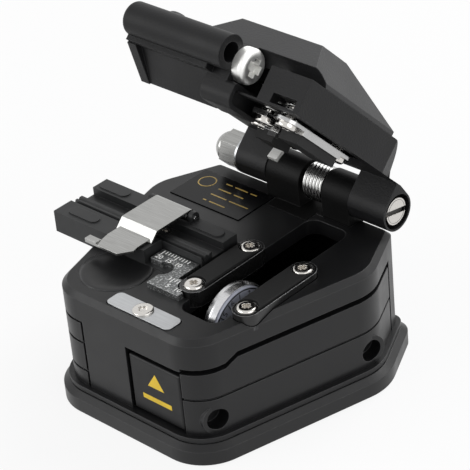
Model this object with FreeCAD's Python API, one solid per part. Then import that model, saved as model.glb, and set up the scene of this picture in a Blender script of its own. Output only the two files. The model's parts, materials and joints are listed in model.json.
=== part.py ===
"""Desktop optical fibre cleaver, modelled piece by piece in millimetres.

X runs along the fibre and the hinge, -Y is the push button's side, +Y the hinge's side
and Z is up. The origin is the middle of the rubber foot's underside.
"""
import FreeCAD, Part
import math
import os

Vector = FreeCAD.Vector
X_AXIS = Vector(1, 0, 0)
Y_AXIS = Vector(0, 1, 0)
Z_AXIS = Vector(0, 0, 1)
ORIGIN = Vector(0, 0, 0)

# ---------------------------------------------------------------- fits
RUNNING = 0.04          # radial clearance of a shaft that turns in its hole
SEAT_GAP = 0.15         # clearance round a piece that sits in a recess
MOVING_GAP = 0.35       # clearance between pieces that pass each other

# ---------------------------------------------------------------- base flange
BASE_DEPTH = 58.1
BASE_FRONT_WIDTH = 41.0
BASE_WIDEST = 64.1
BASE_WIDEST_Y = 13.0
BASE_BACK_WIDTH = 49.0
FRONT_CORNER_R = 10.0
WIDEST_CORNER_R = 12.0
BACK_CORNER_R = 4.0
MAT_THICK = 1.3
MAT_PROUD = 0.3
MAT_INSET = 3.0
FLANGE_WALL = 3.0
FLANGE_BEVEL = 1.0
FLANGE_BEVEL_IN = 1.3
FLANGE_LINE = 0.35      # height and depth of the fine line round the flange
FLANGE_LIP = 0.95

# ---------------------------------------------------------------- housing
BODY_INSET = 2.4
BODY_HEIGHT = 21.6
WALL = 2.6
TOP_THICK = 3.2
TOP_BEVEL = 1.1
SEAM_HEIGHT = 1.2
SEAM_FRONT_Z = 19.6
SEAM_RISE = 1.5
SEAM_RISE_Y = -19.9
SEAM_RISE_RUN = 2.7
COVER_BACK_Y = 22.6
COVER_THICK = 1.6
BAND_DEPTH = 0.45       # depth of the lines cut round the walls
BAND_HEIGHT = 0.6
COVER_BAND_Z = 13.8
RIB_BAND_ZS = (9.2, 16.0, 20.9)
RIB_EDGE_X = -11.4
BOSS_R = 2.6
BOSS_SCREW_R = 1.0
BASE_SCREW_HEAD_R = 2.0
BASE_SCREW_HEAD = 1.2
BASE_SCREW_LENGTH = 11.0
BOSS_PLACES = ((-15.5, -19.0), (-26.6, 12.0), (-17.5, 20.5), (-21.5, -3.0))
COVER_BOSS_PLACES = ((18.3, -8.0), (21.8, 16.0))
SOCKET_R = 2.3
SOCKET_DEPTH = 3.4
SOCKET_WALL = 0.9
SOCKET_Z = 8.9
SOCKET_YS = (-22.5, 11.7)

# ---------------------------------------------------------------- slider
OPENING_X0 = 0.4
OPENING_X1 = 14.7
OPENING_TOP = 20.1
SLIDER_GAP = 0.45
SLIDER_TRAVEL = 20.0
PUSH_PLATE_TOP = 18.6
PUSH_PLATE_THICK = 2.2
PUSH_PLATE_SET_BACK = 0.3
RAIL_FLOOR = 2.5
RAIL_WIDTH = 5.0
RAIL_HEIGHT = 3.3
RAIL_SEAT = 1.4         # depth of the rail's counterbores
RAIL_LENGTH = 45.0
RAIL_SCREW_PITCH = 15.0
RAIL_SCREW_R = 1.0
CARRIAGE_WIDTH = 12.0
CARRIAGE_LENGTH = 17.0
CARRIAGE_HEIGHT = 4.4
CARRIAGE_LIFT = 1.2
SLIDER_THICK = 2.4
SLIDER_LENGTH = 22.0
BRACKET_THICK = 2.2
BRACKET_WIDTH = 7.0

# ---------------------------------------------------------------- blade wheel
WHEEL_R = 8.55
WHEEL_THICK = 2.5
WHEEL_BEVEL = 0.35
WHEEL_X = 11.3          # left face of the wheel
WHEEL_Y = -8.4
WHEEL_Z = 20.3
DIAL_R = 7.9
DIAL_THICK = 0.5
AXLE_R = 1.5
AXLE_HEAD_R = 2.6
AXLE_HEAD = 1.1

# ---------------------------------------------------------------- top of the housing
SLOT_X0 = 7.2
SLOT_X1 = 17.4
SLOT_Y0 = -18.4
SLOT_Y1 = 20.8
SLOT_R = 2.5
INSERT_X0 = -5.3
INSERT_X1 = 11.4
INSERT_Y0 = -25.2
INSERT_Y1 = -20.9
INSERT_R = 1.2
INSERT_THICK = 1.2
INSERT_PROUD = 0.25
INSERT_SCREW_X = 2.9
INSERT_SCREW_R = 2.1
INSERT_SCREW_HEAD = 0.9
LABEL_X0 = -23.3
LABEL_X1 = -4.0
LABEL_Y0 = 11.2
LABEL_Y1 = 22.3
LABEL_THICK = 0.4
LABEL_PROUD = 0.2
SCOOP_X = -11.5
SCOOP_Y = -16.0
SCOOP_R = 22.0
SCOOP_DEPTH = 1.3

# ---------------------------------------------------------------- lower clamps
CLAMP_XS = (6.0, 19.6)
CLAMP_WIDTH = 5.6
CLAMP_SCREW_YS = (-12.1, 3.9)
CLAMP_BOTTOM = 25.2
CLAMP_TOP = 28.6
CLAMP_STEP = 0.8        # depth of the screw seats at the clamp's round ends
PAD_TOP = 29.1
PAD_WIDTH = 4.6
SMALL_HEAD_R = 2.0
SMALL_HEAD = 1.3
SMALL_SHANK_R = 1.0
SMALL_SHANK = 5.0
SOCKET_RECESS_R = 0.9

# ---------------------------------------------------------------- fibre holder
HOLDER_X0 = -34.0
HOLDER_X1 = 2.4
HOLDER_Y0 = -11.0
HOLDER_Y1 = 4.1
HOLDER_BOTTOM = 25.5
HOLDER_TOP = 30.3
HOLDER_FRONT_W = 4.9
HOLDER_VEE_W = 1.2
HOLDER_RIDGE_W = 1.8
HOLDER_BACK_W = 4.0
CHANNEL_DEPTH = 1.7
FIBRE_Y = -4.1
FIBRE_GROOVE = 0.35
SHELF_X0 = -8.4         # the holder's low front step, under the scale plate
OVAL_LENGTH = 8.0
OVAL_WIDTH = 2.6
OVAL_PROUD = 0.25
OVAL_XS_FRONT = (-27.5,)
OVAL_XS_BACK = (-29.5, -3.4)
HOLDER_SCREW_XS = (-18.2, -12.2)

# ---------------------------------------------------------------- clip lid
LID_X0 = -18.6
LID_X1 = -8.9
LID_FRONT_Y = -6.5
LID_TOP = 32.3
LID_THICK = 0.5
LID_STEP = 1.4          # drop and run of the step in front of the flat lid
LID_LIP_IN = 0.7        # the lip is this much narrower at each side
LID_LIP_BEND_Y = -11.4
LID_LIP_Y = -14.8
LID_LIP_DROP = 0.7
LID_TAIL_X = -21.0
LID_TAIL_WIDTH = 1.5
PIN_R = 0.6
PIN_Y = 2.9
PIN_Z = 31.0
ROLL_POCKET = 0.3
EAR_THICK = 1.0
EAR_R = 1.2

# ---------------------------------------------------------------- scale plate
SCALE_THICK = 1.2
SCALE_BACK_Y = -6.2
SCALE_MID_Y = -9.9
SCALE_LOW_Y = -16.6
SCALE_X0 = -7.9
SCALE_X1 = 1.8
SCALE_LOW_X0 = -2.3
SCALE_LOW_X1 = 6.0
SCALE_NOTCH_R = 2.2

# ---------------------------------------------------------------- hinge
HINGE_Y = 26.4
HINGE_Z = 32.0
KNUCKLE_R = 4.1
BOLT_R = 2.0
LUG_A_X0 = -14.3
KNUCKLE_B_X0 = -6.1
KNUCKLE_B_X1 = 2.6
KNUCKLE_C_X0 = 8.7
KNUCKLE_C_X1 = 15.6
LUG_D_X1 = 24.9
LUG_GAP = 0.15
HINGE_FOOT_DEPTH = 2.0
HINGE_FOOT_FRONT = 22.5
HINGE_TONGUE_FRONT = 19.4
HINGE_SCREW_R = 1.0
HINGE_SCREW_HEAD_R = 1.9
NUT_AF = 7.0
NUT_HEIGHT = 4.4
NUT_DOME = 3.0
WASHER_R = 4.0
WASHER_THICK = 0.7
BOLT_HEAD_R = 2.85
BOLT_HEAD = 2.0
COUNTERBORE_R = 3.7
COUNTERBORE_DEPTH = 2.3
SPRING_WIRE_R = 0.4
SPRING_R = 3.5
SPRING_TURNS = 6
STOP_TAB = 2.4
STOP_TAB_X = -6.1
STOP_TAB_PROUD = 0.8
STOP_TAB_DEPTH = 2.0
STOP_TAB_ANGLE = 64.0   # above level, seen from the hinge axis

# ---------------------------------------------------------------- arm, written as if level
OPEN_ANGLE = 46.0
ARM_FRONT = 43.0        # distances V run from the hinge axis to the front,
ARM_BACK = 2.9          # heights W run up from the hinge axis
ARM_BACK_TOP = 7.3
ARM_BACK_R = 7.6
ARM_UNDER = 4.7
ARM_TOP = 11.7
ARM_WALL = 2.4
ARM_ROOF = 2.2
HOLLOW_BACK = 12.0
CORNER_V = 10.5         # where the cut on the rear right corner runs out
CORNER_END_V = 4.0
CORNER_IN = 2.9
LUG_ROOT = 16.2
WINDOW_X0 = 18.0
WINDOW_X1 = 23.7
WINDOW_W0 = 5.2
WINDOW_W1 = 7.1
CAP_X0 = -6.1
CAP_X1 = 24.7
CAP_BACK = 12.5
CAP_STRIP = 0.9
CAP_HEIGHT = 7.5
CAP_RIDGE_X0 = -0.6
CAP_RIDGE_X1 = 19.4
CAP_RIDGE_BACK = 28.5
CAP_RIDGE_FRONT = 37.5
HANDLE_X0 = -17.5
HANDLE_X1 = 8.0
HANDLE_V = 46.8
HANDLE_W = 10.8
HANDLE_R = 3.4
HANDLE_BORE_R = 2.0
HANDLE_BORE = 9.0
PANEL_FRONT = (45.3, 7.2)       # the sloping panel's outer face, as (V, W)
PANEL_FOOT = (37.3, 1.4)
PANEL_THICK = 1.4
PANEL_X1 = 3.0
PANEL_CLEARANCE = 9.0
END_INSET = 0.8
END_RIB = 2.2
END_RIB_PROUD = 1.4
BLOCK_BACK = 30.1
BLOCK_FRONT = 44.5
BLOCK_TOP = 9.1
BLOCK_LOW = 1.5
BLOCK_HEEL = (31.2, 3.6)        # the block's lower rear corner, as (V, W)
BLOCK_BEND = (35.5, 1.6)
CUP_X1 = 10.3
CUP_BACK = 33.6
CUP_TOP = 6.2
CUP_RIM = 0.9
CUP_DEPTH = 1.4
HANDLE_SCREW_V = 41.8
HANDLE_SCREW_W = 10.3
HANDLE_BOSS_R = 3.6
HANDLE_HEAD_R = 3.55
HANDLE_HEAD = 2.6
HANDLE_RECESS_R = 1.9
HANDLE_SHANK_R = 2.0
HANDLE_SHANK = 4.4
HEAD_POCKET = 1.8       # room round the handle screw's head
HEAD_POCKET_X1 = 15.0
TOP_SCREW_R = 2.4
TOP_SCREW_SHANK_R = 1.2
TOP_SCREW_X = -12.3
TOP_SCREW_V = 41.0
TOP_SCREW_HEAD = 3.8

# ---------------------------------------------------------------- upper clamps and anvil
UPPER_LOW = 2.6
UPPER_THICK = 1.5
UPPER_STEP = 0.8        # depth of the screw seats under the clamp's ends
UPPER_PAD_PROUD = 1.85
UPPER_HEAD = 1.1
UPPER_PIN_R = 1.0
UPPER_PIN_TOP = 9.2
UPPER_PINS_LEFT = (16.0, 26.8)
UPPER_PINS_RIGHT = (19.5, 37.4)
UPPER_BOSS_R = 2.3
UPPER_BOSS_LOW = 7.2
CLAMP_SPRING_R = 1.6
CLAMP_SPRING_WIRE_R = 0.22
CLAMP_SPRING_TURNS = 3
ANVIL_X = 12.55
ANVIL_WIDTH = 3.6
ANVIL_PIVOT_V = 15.0
ANVIL_PIVOT_W = 5.0
ANVIL_EYE_R = 1.7
ANVIL_PIN_R = 0.8
ANVIL_TIP_V = 31.8
ANVIL_TIP_TOP = 4.3
ANVIL_TIP_LOW = 1.9
ANVIL_NOSE_V = 37.2
ANVIL_NOSE_THICK = 1.0
ANVIL_PRESS_DEPTH = 0.8
ANVIL_PRESS_WIDTH = 2.0
ANVIL_PRESS_LENGTH = 1.2
ANVIL_EAR = 1.4
HANGER_V = 34.7
HANGER_HEAD = 1.2
HANGER_PLAY = 0.3       # room round the hanger's shank in the anvil's nose


# ================================================================ worked-out places
FLANGE_BOTTOM = MAT_PROUD
BASE_TOP = FLANGE_BOTTOM + FLANGE_WALL + FLANGE_BEVEL + FLANGE_LINE + FLANGE_LIP
BODY_TOP = BASE_TOP + BODY_HEIGHT
ROOF_UNDER = BODY_TOP - TOP_THICK
BODY_FRONT_Y = -BASE_DEPTH / 2 + BODY_INSET
BODY_BACK_Y = BASE_DEPTH / 2 - BODY_INSET
FAR = 80.0              # longer than the whole object


# ================================================================ helpers
def inset_points(points, inset):
    """The corners of a convex outline with every side moved inwards by inset."""
    count = len(points)
    lines = []
    for i in range(count):
        x0, y0 = points[i]
        x1, y1 = points[(i + 1) % count]
        length = math.hypot(x1 - x0, y1 - y0)
        nx, ny = -(y1 - y0) / length, (x1 - x0) / length
        lines.append((nx, ny, nx * x0 + ny * y0 + inset))
    corners = []
    for i in range(count):
        ax, ay, a = lines[i - 1]
        bx, by, b = lines[i]
        det = ax * by - ay * bx
        corners.append(((a * by - b * ay) / det, (ax * b - bx * a) / det))
    return corners


def rounded_wire(points, radii, z=0.0):
    """A closed outline of straight sides joined by tangent arcs of the given radii."""
    count = len(points)
    if not isinstance(radii, (list, tuple)):
        radii = [radii] * count
    corners = [Vector(x, y, z) for x, y in points]
    starts, mids, ends = [], [], []
    for i in range(count):
        here = corners[i]
        back = (corners[i - 1] - here).normalize()
        ahead = (corners[(i + 1) % count] - here).normalize()
        half = math.acos(max(-1.0, min(1.0, back.dot(ahead)))) / 2
        run = radii[i] / math.tan(half)
        middle = (back + ahead).normalize()
        reach = radii[i] / math.sin(half) - radii[i]
        starts.append(here + back * run)
        mids.append(here + middle * reach)
        ends.append(here + ahead * run)
    edges = []
    for i in range(count):
        if radii[i] > 0:
            edges.append(Part.Arc(starts[i], mids[i], ends[i]).toShape())
        follower = starts[(i + 1) % count]
        if (follower - ends[i]).Length > 1e-6:
            edges.append(Part.LineSegment(ends[i], follower).toShape())
    return Part.Wire(edges)


def prism(wire, height):
    return Part.Face(wire).extrude(Vector(0, 0, height))


def block(x0, x1, y0, y1, z0, z1):
    return Part.makeBox(x1 - x0, y1 - y0, z1 - z0, Vector(x0, y0, z0))


def rounded_block(x0, x1, y0, y1, z0, z1, radius):
    """A box with its upright edges rounded."""
    points = [(x0, y0), (x1, y0), (x1, y1), (x0, y1)]
    return prism(rounded_wire(points, radius, z0), z1 - z0)


def obround(x, y0, y1, radius, z0, z1):
    """A bar along Y with round ends centred on y0 and y1."""
    body = block(x - radius, x + radius, y0, y1, z0, z1)
    for y in (y0, y1):
        body = body.fuse(cylinder_z(x, y, radius, z0, z1))
    return body.removeSplitter()


def cylinder_z(x, y, radius, z0, z1):
    return Part.makeCylinder(radius, z1 - z0, Vector(x, y, z0), Z_AXIS)


def cylinder_x(x0, x1, y, z, radius):
    return Part.makeCylinder(radius, x1 - x0, Vector(x0, y, z), X_AXIS)


def along_x(points, x0, x1):
    """A solid of constant (y, z) section between two x places."""
    corners = [Vector(x0, y, z) for y, z in points]
    return Part.Face(Part.makePolygon(corners + corners[:1])).extrude(Vector(x1 - x0, 0, 0))


def union(shapes):
    first, rest = shapes[0], shapes[1:]
    return first.multiFuse(rest).removeSplitter() if rest else first


def save(name, *solids):
    """Write one node: a single solid, or several separate ones."""
    shape = solids[0] if len(solids) == 1 else Part.makeCompound(list(solids))
    if len(shape.Solids) == 1:
        shape = shape.Solids[0]
    if not shape.Solids or not shape.isValid():
        raise ValueError(f"{name}: not a valid solid")
    shape.exportStep(f"parts/{name}.step")


def arm_y(v):
    return HINGE_Y - v


def arm_z(w):
    return HINGE_Z + w


def arm_block(x0, x1, v0, v1, w0, w1):
    """A box in the closed arm's own distances."""
    return block(x0, x1, arm_y(v1), arm_y(v0), arm_z(w0), arm_z(w1))


def raise_arm(shape):
    """Turn a piece of the closed arm up to the open rest position."""
    turned = shape.copy()
    turned.rotate(Vector(0, HINGE_Y, HINGE_Z), X_AXIS, -OPEN_ANGLE)
    return turned


def pan_screw(head_r, head, shank_r, shank, recess_r):
    """A pan-head screw along Z whose head rests on z = 0, with a cross recess."""
    top = Part.makeCylinder(head_r, head)
    rim = [edge for edge in top.Edges if abs(edge.CenterOfMass.z - head) < 1e-6]
    top = top.makeFillet(head * 0.45, rim)
    depth = head * 0.55
    arm = recess_r * 0.45
    for long_x, long_y in ((recess_r, arm), (arm, recess_r)):
        top = top.cut(block(-long_x, long_x, -long_y, long_y, head - depth, head + 1))
    return top.fuse(Part.makeCylinder(shank_r, shank, Vector(0, 0, -shank))).removeSplitter()


def turned_to(shape, axis, place):
    """Move a piece made along +Z so that it points along axis at a place."""
    moved = shape.copy()
    moved.Placement = FreeCAD.Placement(place, FreeCAD.Rotation(Z_AXIS, axis))
    return moved


# ================================================================ base
def base_outline():
    """The six corners of the flange, counter-clockwise from the front left."""
    front = -BASE_DEPTH / 2
    back = BASE_DEPTH / 2
    return [
        (-BASE_FRONT_WIDTH / 2, front), (BASE_FRONT_WIDTH / 2, front),
        (BASE_WIDEST / 2, BASE_WIDEST_Y), (BASE_BACK_WIDTH / 2, back),
        (-BASE_BACK_WIDTH / 2, back), (-BASE_WIDEST / 2, BASE_WIDEST_Y),
    ]


def base_wire(inset, z):
    """The flange outline moved inwards, at a height."""
    radii = [FRONT_CORNER_R, FRONT_CORNER_R, WIDEST_CORNER_R,
             BACK_CORNER_R, BACK_CORNER_R, WIDEST_CORNER_R]
    radii = [max(radius - inset, 0.8) for radius in radii]
    return rounded_wire(inset_points(base_outline(), inset), radii, z)


def base_prism(inset, z0, z1):
    return prism(base_wire(inset, z0), z1 - z0)


def base_loft(inset0, z0, inset1, z1):
    """A slanted band between two insets of the outline."""
    return Part.makeLoft([base_wire(inset0, z0), base_wire(inset1, z1)], True, True)


def base_screw_places():
    return BOSS_PLACES + COVER_BOSS_PLACES


def make_rubber_mat():
    return base_prism(MAT_INSET, 0, MAT_THICK)


def make_base_plate():
    bevel_z = FLANGE_BOTTOM + FLANGE_WALL
    line_z = bevel_z + FLANGE_BEVEL
    lip_z = line_z + FLANGE_LINE
    plate = union([
        base_prism(0, FLANGE_BOTTOM, bevel_z),
        base_loft(0, bevel_z, FLANGE_BEVEL_IN, line_z),
        base_prism(FLANGE_BEVEL_IN + FLANGE_LINE, line_z, lip_z),
        base_prism(FLANGE_BEVEL_IN, lip_z, BASE_TOP),
    ])
    plate = plate.cut(base_prism(MAT_INSET - SEAT_GAP, 0, MAT_THICK))
    middle = (OPENING_X0 + OPENING_X1) / 2
    half = CARRIAGE_WIDTH / 2 + MOVING_GAP
    plate = plate.cut(block(middle - half, middle + half, -RAIL_LENGTH / 2 - SEAT_GAP,
                            RAIL_LENGTH / 2 + SEAT_GAP, RAIL_FLOOR, BASE_TOP + 1))
    for x, y in rail_screw_places():
        plate = plate.cut(cylinder_z(x, y, RAIL_SCREW_R, RAIL_FLOOR - 0.8, RAIL_FLOOR))
    for x, y in base_screw_places():
        plate = plate.cut(cylinder_z(x, y, BOSS_SCREW_R, 0, BASE_TOP + 1))
        plate = plate.cut(cylinder_z(x, y, BASE_SCREW_HEAD_R + SEAT_GAP, 0,
                                     MAT_THICK + BASE_SCREW_HEAD))
    return plate


def make_base_screws():
    screw = pan_screw(BASE_SCREW_HEAD_R, BASE_SCREW_HEAD, BOSS_SCREW_R,
                      BASE_SCREW_LENGTH, SOCKET_RECESS_R)
    seat = MAT_THICK + BASE_SCREW_HEAD
    return [turned_to(screw, Vector(0, 0, -1), Vector(x, y, seat))
            for x, y in base_screw_places()]


# ================================================================ housing
def body_prism(inset, z0, z1):
    return base_prism(BODY_INSET + inset, z0, z1)


def seam_region(rise, z_low):
    """The space right of the slider under the stepped seam line, raised by rise."""
    low, high = SEAM_FRONT_Z + rise, SEAM_FRONT_Z + SEAM_RISE + rise
    side = [
        (-FAR, z_low), (COVER_BACK_Y + rise / 2, z_low), (COVER_BACK_Y + rise / 2, high),
        (SEAM_RISE_Y + SEAM_RISE_RUN, high), (SEAM_RISE_Y, low), (-FAR, low),
    ]
    return along_x(side, OPENING_X1, FAR)


def body_ring(inset0, inset1, z0, z1):
    return body_prism(inset0, z0, z1).cut(body_prism(inset1, z0 - 1, z1 + 1))


def bosses(places, top):
    return [cylinder_z(x, y, BOSS_R, BASE_TOP, top) for x, y in places]


def slot_cutter(z0, z1):
    return rounded_block(SLOT_X0, SLOT_X1, SLOT_Y0, SLOT_Y1, z0, z1, SLOT_R)


def hinge_foot(gap, z1):
    """The hinge bracket's foot and its tongue, let into the housing's back edge."""
    z0 = BODY_TOP - HINGE_FOOT_DEPTH - gap
    foot = block(KNUCKLE_B_X0 - gap, KNUCKLE_C_X1 + gap, HINGE_FOOT_FRONT - gap,
                 BODY_BACK_Y + gap, z0, z1)
    tongue = block(LABEL_X1 + SEAT_GAP * 2 - gap, SLOT_X0 - SEAT_GAP * 2 + gap,
                   HINGE_TONGUE_FRONT - gap, BODY_BACK_Y, z0, z1)
    return foot.fuse(tongue).removeSplitter()


def clamp_recess(x):
    radius = CLAMP_WIDTH / 2 + SEAT_GAP
    return obround(x, CLAMP_SCREW_YS[0], CLAMP_SCREW_YS[1], radius, CLAMP_BOTTOM, FAR)


def finger_scoop():
    """A shallow round hollow in front of the lid's lip."""
    centre = Vector(SCOOP_X, SCOOP_Y, BODY_TOP - SCOOP_DEPTH + SCOOP_R)
    return Part.makeSphere(SCOOP_R, centre)


def make_main_housing():
    shell = body_prism(0, BASE_TOP, BODY_TOP - TOP_BEVEL)
    bevel = base_loft(BODY_INSET, BODY_TOP - TOP_BEVEL, BODY_INSET + TOP_BEVEL, BODY_TOP)
    body = shell.fuse(bevel).removeSplitter()
    body = body.cut(body_prism(WALL, BASE_TOP - 1, ROOF_UNDER))
    body = body.cut(seam_region(SEAM_HEIGHT, BASE_TOP - 1))
    lip = body_ring(COVER_THICK + SEAT_GAP, WALL, SEAM_FRONT_Z - 2, ROOF_UNDER)
    lip = lip.common(seam_region(SEAM_HEIGHT, SEAM_FRONT_Z - 2))
    supports = bosses(BOSS_PLACES, ROOF_UNDER) + bosses(COVER_BOSS_PLACES, ROOF_UNDER)
    body = union([body, lip] + supports)
    body = body.cut(block(OPENING_X0, OPENING_X1, -FAR, BODY_FRONT_Y + WALL + 1,
                          BASE_TOP - 1, OPENING_TOP))
    for z in RIB_BAND_ZS:
        band = body_ring(-1, BAND_DEPTH, z - BAND_HEIGHT / 2, z + BAND_HEIGHT / 2)
        body = body.cut(band.common(block(-FAR, RIB_EDGE_X, -FAR, BASE_WIDEST_Y, 0, FAR)))
    body = body.cut(block(RIB_EDGE_X - BAND_HEIGHT / 2, RIB_EDGE_X + BAND_HEIGHT / 2,
                          -FAR, BODY_FRONT_Y + BAND_DEPTH, BASE_TOP - 1,
                          RIB_BAND_ZS[-1] + BAND_HEIGHT / 2))
    body = body.cut(slot_cutter(ROOF_UNDER - 1, FAR))
    body = body.cut(block(-FAR, HOLDER_X1 + SEAT_GAP, HOLDER_Y0 - SEAT_GAP,
                          HOLDER_Y1 + SEAT_GAP, HOLDER_BOTTOM, FAR))
    for x in CLAMP_XS:
        body = body.cut(clamp_recess(x))
    body = body.cut(rounded_block(INSERT_X0 - SEAT_GAP, INSERT_X1 + SEAT_GAP,
                                  INSERT_Y0 - SEAT_GAP, INSERT_Y1 + SEAT_GAP,
                                  BODY_TOP - INSERT_THICK + INSERT_PROUD, FAR, INSERT_R))
    body = body.cut(block(LABEL_X0, LABEL_X1, LABEL_Y0, LABEL_Y1,
                          BODY_TOP + LABEL_PROUD - LABEL_THICK, FAR))
    body = body.cut(hinge_foot(SEAT_GAP, FAR))
    body = body.cut(finger_scoop())
    shank_end = CLAMP_TOP - CLAMP_STEP - SMALL_SHANK - SEAT_GAP
    for x, y in clamp_screw_places() + holder_screw_places():
        body = body.cut(cylinder_z(x, y, SMALL_SHANK_R, shank_end, BODY_TOP))
    for x, y in hinge_screw_places():
        body = body.cut(cylinder_z(x, y, HINGE_SCREW_R, ROOF_UNDER - 1, BODY_TOP))
    body = body.cut(cylinder_z(INSERT_SCREW_X, insert_screw_y(), SMALL_SHANK_R,
                               ROOF_UNDER - 1, BODY_TOP))
    for x, y in base_screw_places():
        body = body.cut(cylinder_z(x, y, BOSS_SCREW_R, BASE_TOP - 1,
                                   MAT_THICK + BASE_SCREW_HEAD + BASE_SCREW_LENGTH))
    return body


def flare_normal():
    """The outward normal of the right flared wall."""
    corners = base_outline()
    dx = corners[2][0] - corners[1][0]
    dy = corners[2][1] - corners[1][1]
    length = math.hypot(dx, dy)
    return Vector(dy / length, -dx / length, 0)


def socket_mouth(y):
    """The centre of a collector socket's mouth on the cover's outer face."""
    corners = inset_points(base_outline(), BODY_INSET)
    (x1, y1), (x2, y2) = corners[1], corners[2]
    share = (y - y1) / (y2 - y1)
    return Vector(x1 + share * (x2 - x1), y, SOCKET_Z)


def make_side_cover():
    cover = body_ring(0, COVER_THICK, BASE_TOP, SEAM_FRONT_Z + SEAM_RISE)
    cover = cover.common(seam_region(0, BASE_TOP))
    outwards = flare_normal()
    pieces = [cover]
    for y in SOCKET_YS:
        start = socket_mouth(y) - outwards * (SOCKET_DEPTH + SOCKET_WALL)
        pieces.append(Part.makeCylinder(SOCKET_R + SOCKET_WALL, SOCKET_DEPTH + SOCKET_WALL / 2,
                                        start, outwards))
    cover = union(pieces)
    for y in SOCKET_YS:
        start = socket_mouth(y) - outwards * SOCKET_DEPTH
        cover = cover.cut(Part.makeCylinder(SOCKET_R, SOCKET_DEPTH * 2, start, outwards))
    band = body_ring(-1, BAND_DEPTH, COVER_BAND_Z - BAND_HEIGHT / 2,
                     COVER_BAND_Z + BAND_HEIGHT / 2)
    return cover.cut(band)


def insert_screw_y():
    return (INSERT_Y0 + INSERT_Y1) / 2


def make_insert_plate():
    bottom = BODY_TOP - INSERT_THICK + INSERT_PROUD
    plate = rounded_block(INSERT_X0, INSERT_X1, INSERT_Y0, INSERT_Y1,
                          bottom, BODY_TOP + INSERT_PROUD, INSERT_R)
    return plate.cut(cylinder_z(INSERT_SCREW_X, insert_screw_y(), SMALL_SHANK_R,
                                bottom - 1, FAR))


def make_insert_screw():
    """The round-headed screw in the insert plate."""
    screw = pan_screw(INSERT_SCREW_R, INSERT_SCREW_HEAD, SMALL_SHANK_R, SMALL_SHANK / 2,
                      SOCKET_RECESS_R)
    return turned_to(screw, Z_AXIS,
                     Vector(INSERT_SCREW_X, insert_screw_y(), BODY_TOP + INSERT_PROUD))


def make_label_plate():
    top = BODY_TOP + LABEL_PROUD
    return block(LABEL_X0 + SEAT_GAP, LABEL_X1 - SEAT_GAP, LABEL_Y0 + SEAT_GAP,
                 LABEL_Y1 - SEAT_GAP, top - LABEL_THICK, top)


# ================================================================ lower clamps
def clamp_screw_places():
    return [(x, y) for x in CLAMP_XS for y in CLAMP_SCREW_YS]


def make_lower_clamp(x):
    """A steel bar with round ends stepped down for its two screws."""
    bar = obround(x, CLAMP_SCREW_YS[0], CLAMP_SCREW_YS[1], CLAMP_WIDTH / 2,
                  CLAMP_BOTTOM, CLAMP_TOP)
    for y in CLAMP_SCREW_YS:
        bar = bar.cut(cylinder_z(x, y, SMALL_HEAD_R + SEAT_GAP, CLAMP_TOP - CLAMP_STEP, FAR))
        bar = bar.cut(cylinder_z(x, y, SMALL_SHANK_R, CLAMP_BOTTOM - 1, FAR))
    return bar


def make_lower_pad(x):
    """The rubber strip between a clamp's screws, hollowed round their heads."""
    pad = block(x - PAD_WIDTH / 2, x + PAD_WIDTH / 2, CLAMP_SCREW_YS[0], CLAMP_SCREW_YS[1],
                CLAMP_TOP, PAD_TOP)
    for y in CLAMP_SCREW_YS:
        pad = pad.cut(cylinder_z(x, y, SMALL_HEAD_R + MOVING_GAP, CLAMP_TOP - 1, FAR))
    return pad


def small_screw():
    return pan_screw(SMALL_HEAD_R, SMALL_HEAD, SMALL_SHANK_R, SMALL_SHANK, SOCKET_RECESS_R)


def make_lower_clamp_screws():
    seat = CLAMP_TOP - CLAMP_STEP
    return [turned_to(small_screw(), Z_AXIS, Vector(x, y, seat))
            for x, y in clamp_screw_places()]


# ================================================================ fibre holder
def holder_screw_places():
    channel = HOLDER_Y1 - HOLDER_BACK_W - 1.7
    return [(x, channel) for x in HOLDER_SCREW_XS]


def holder_section():
    """Front block, V groove, ridge, sunk channel and back block, seen along X."""
    low = HOLDER_TOP - CHANNEL_DEPTH
    vee0 = HOLDER_Y0 + HOLDER_FRONT_W
    ridge0 = vee0 + HOLDER_VEE_W
    ridge1 = ridge0 + HOLDER_RIDGE_W
    back0 = HOLDER_Y1 - HOLDER_BACK_W
    return [
        (HOLDER_Y0, HOLDER_BOTTOM), (HOLDER_Y1, HOLDER_BOTTOM), (HOLDER_Y1, HOLDER_TOP),
        (back0, HOLDER_TOP), (back0, low), (ridge1, low), (ridge1, HOLDER_TOP - 0.4),
        (FIBRE_Y + FIBRE_GROOVE, HOLDER_TOP - 0.4), (FIBRE_Y, HOLDER_TOP - 0.4 - FIBRE_GROOVE),
        (FIBRE_Y - FIBRE_GROOVE, HOLDER_TOP - 0.4), (ridge0, HOLDER_TOP - 0.4),
        ((vee0 + ridge0) / 2, low), (vee0, HOLDER_TOP), (HOLDER_Y0, HOLDER_TOP),
    ]


def oval(x, y):
    bar = obround(0, -OVAL_LENGTH / 2 + OVAL_WIDTH / 2, OVAL_LENGTH / 2 - OVAL_WIDTH / 2,
                  OVAL_WIDTH / 2, -OVAL_PROUD, OVAL_PROUD)
    bar.rotate(ORIGIN, Z_AXIS, 90)
    bar.translate(Vector(x, y, HOLDER_TOP))
    return bar


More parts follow.
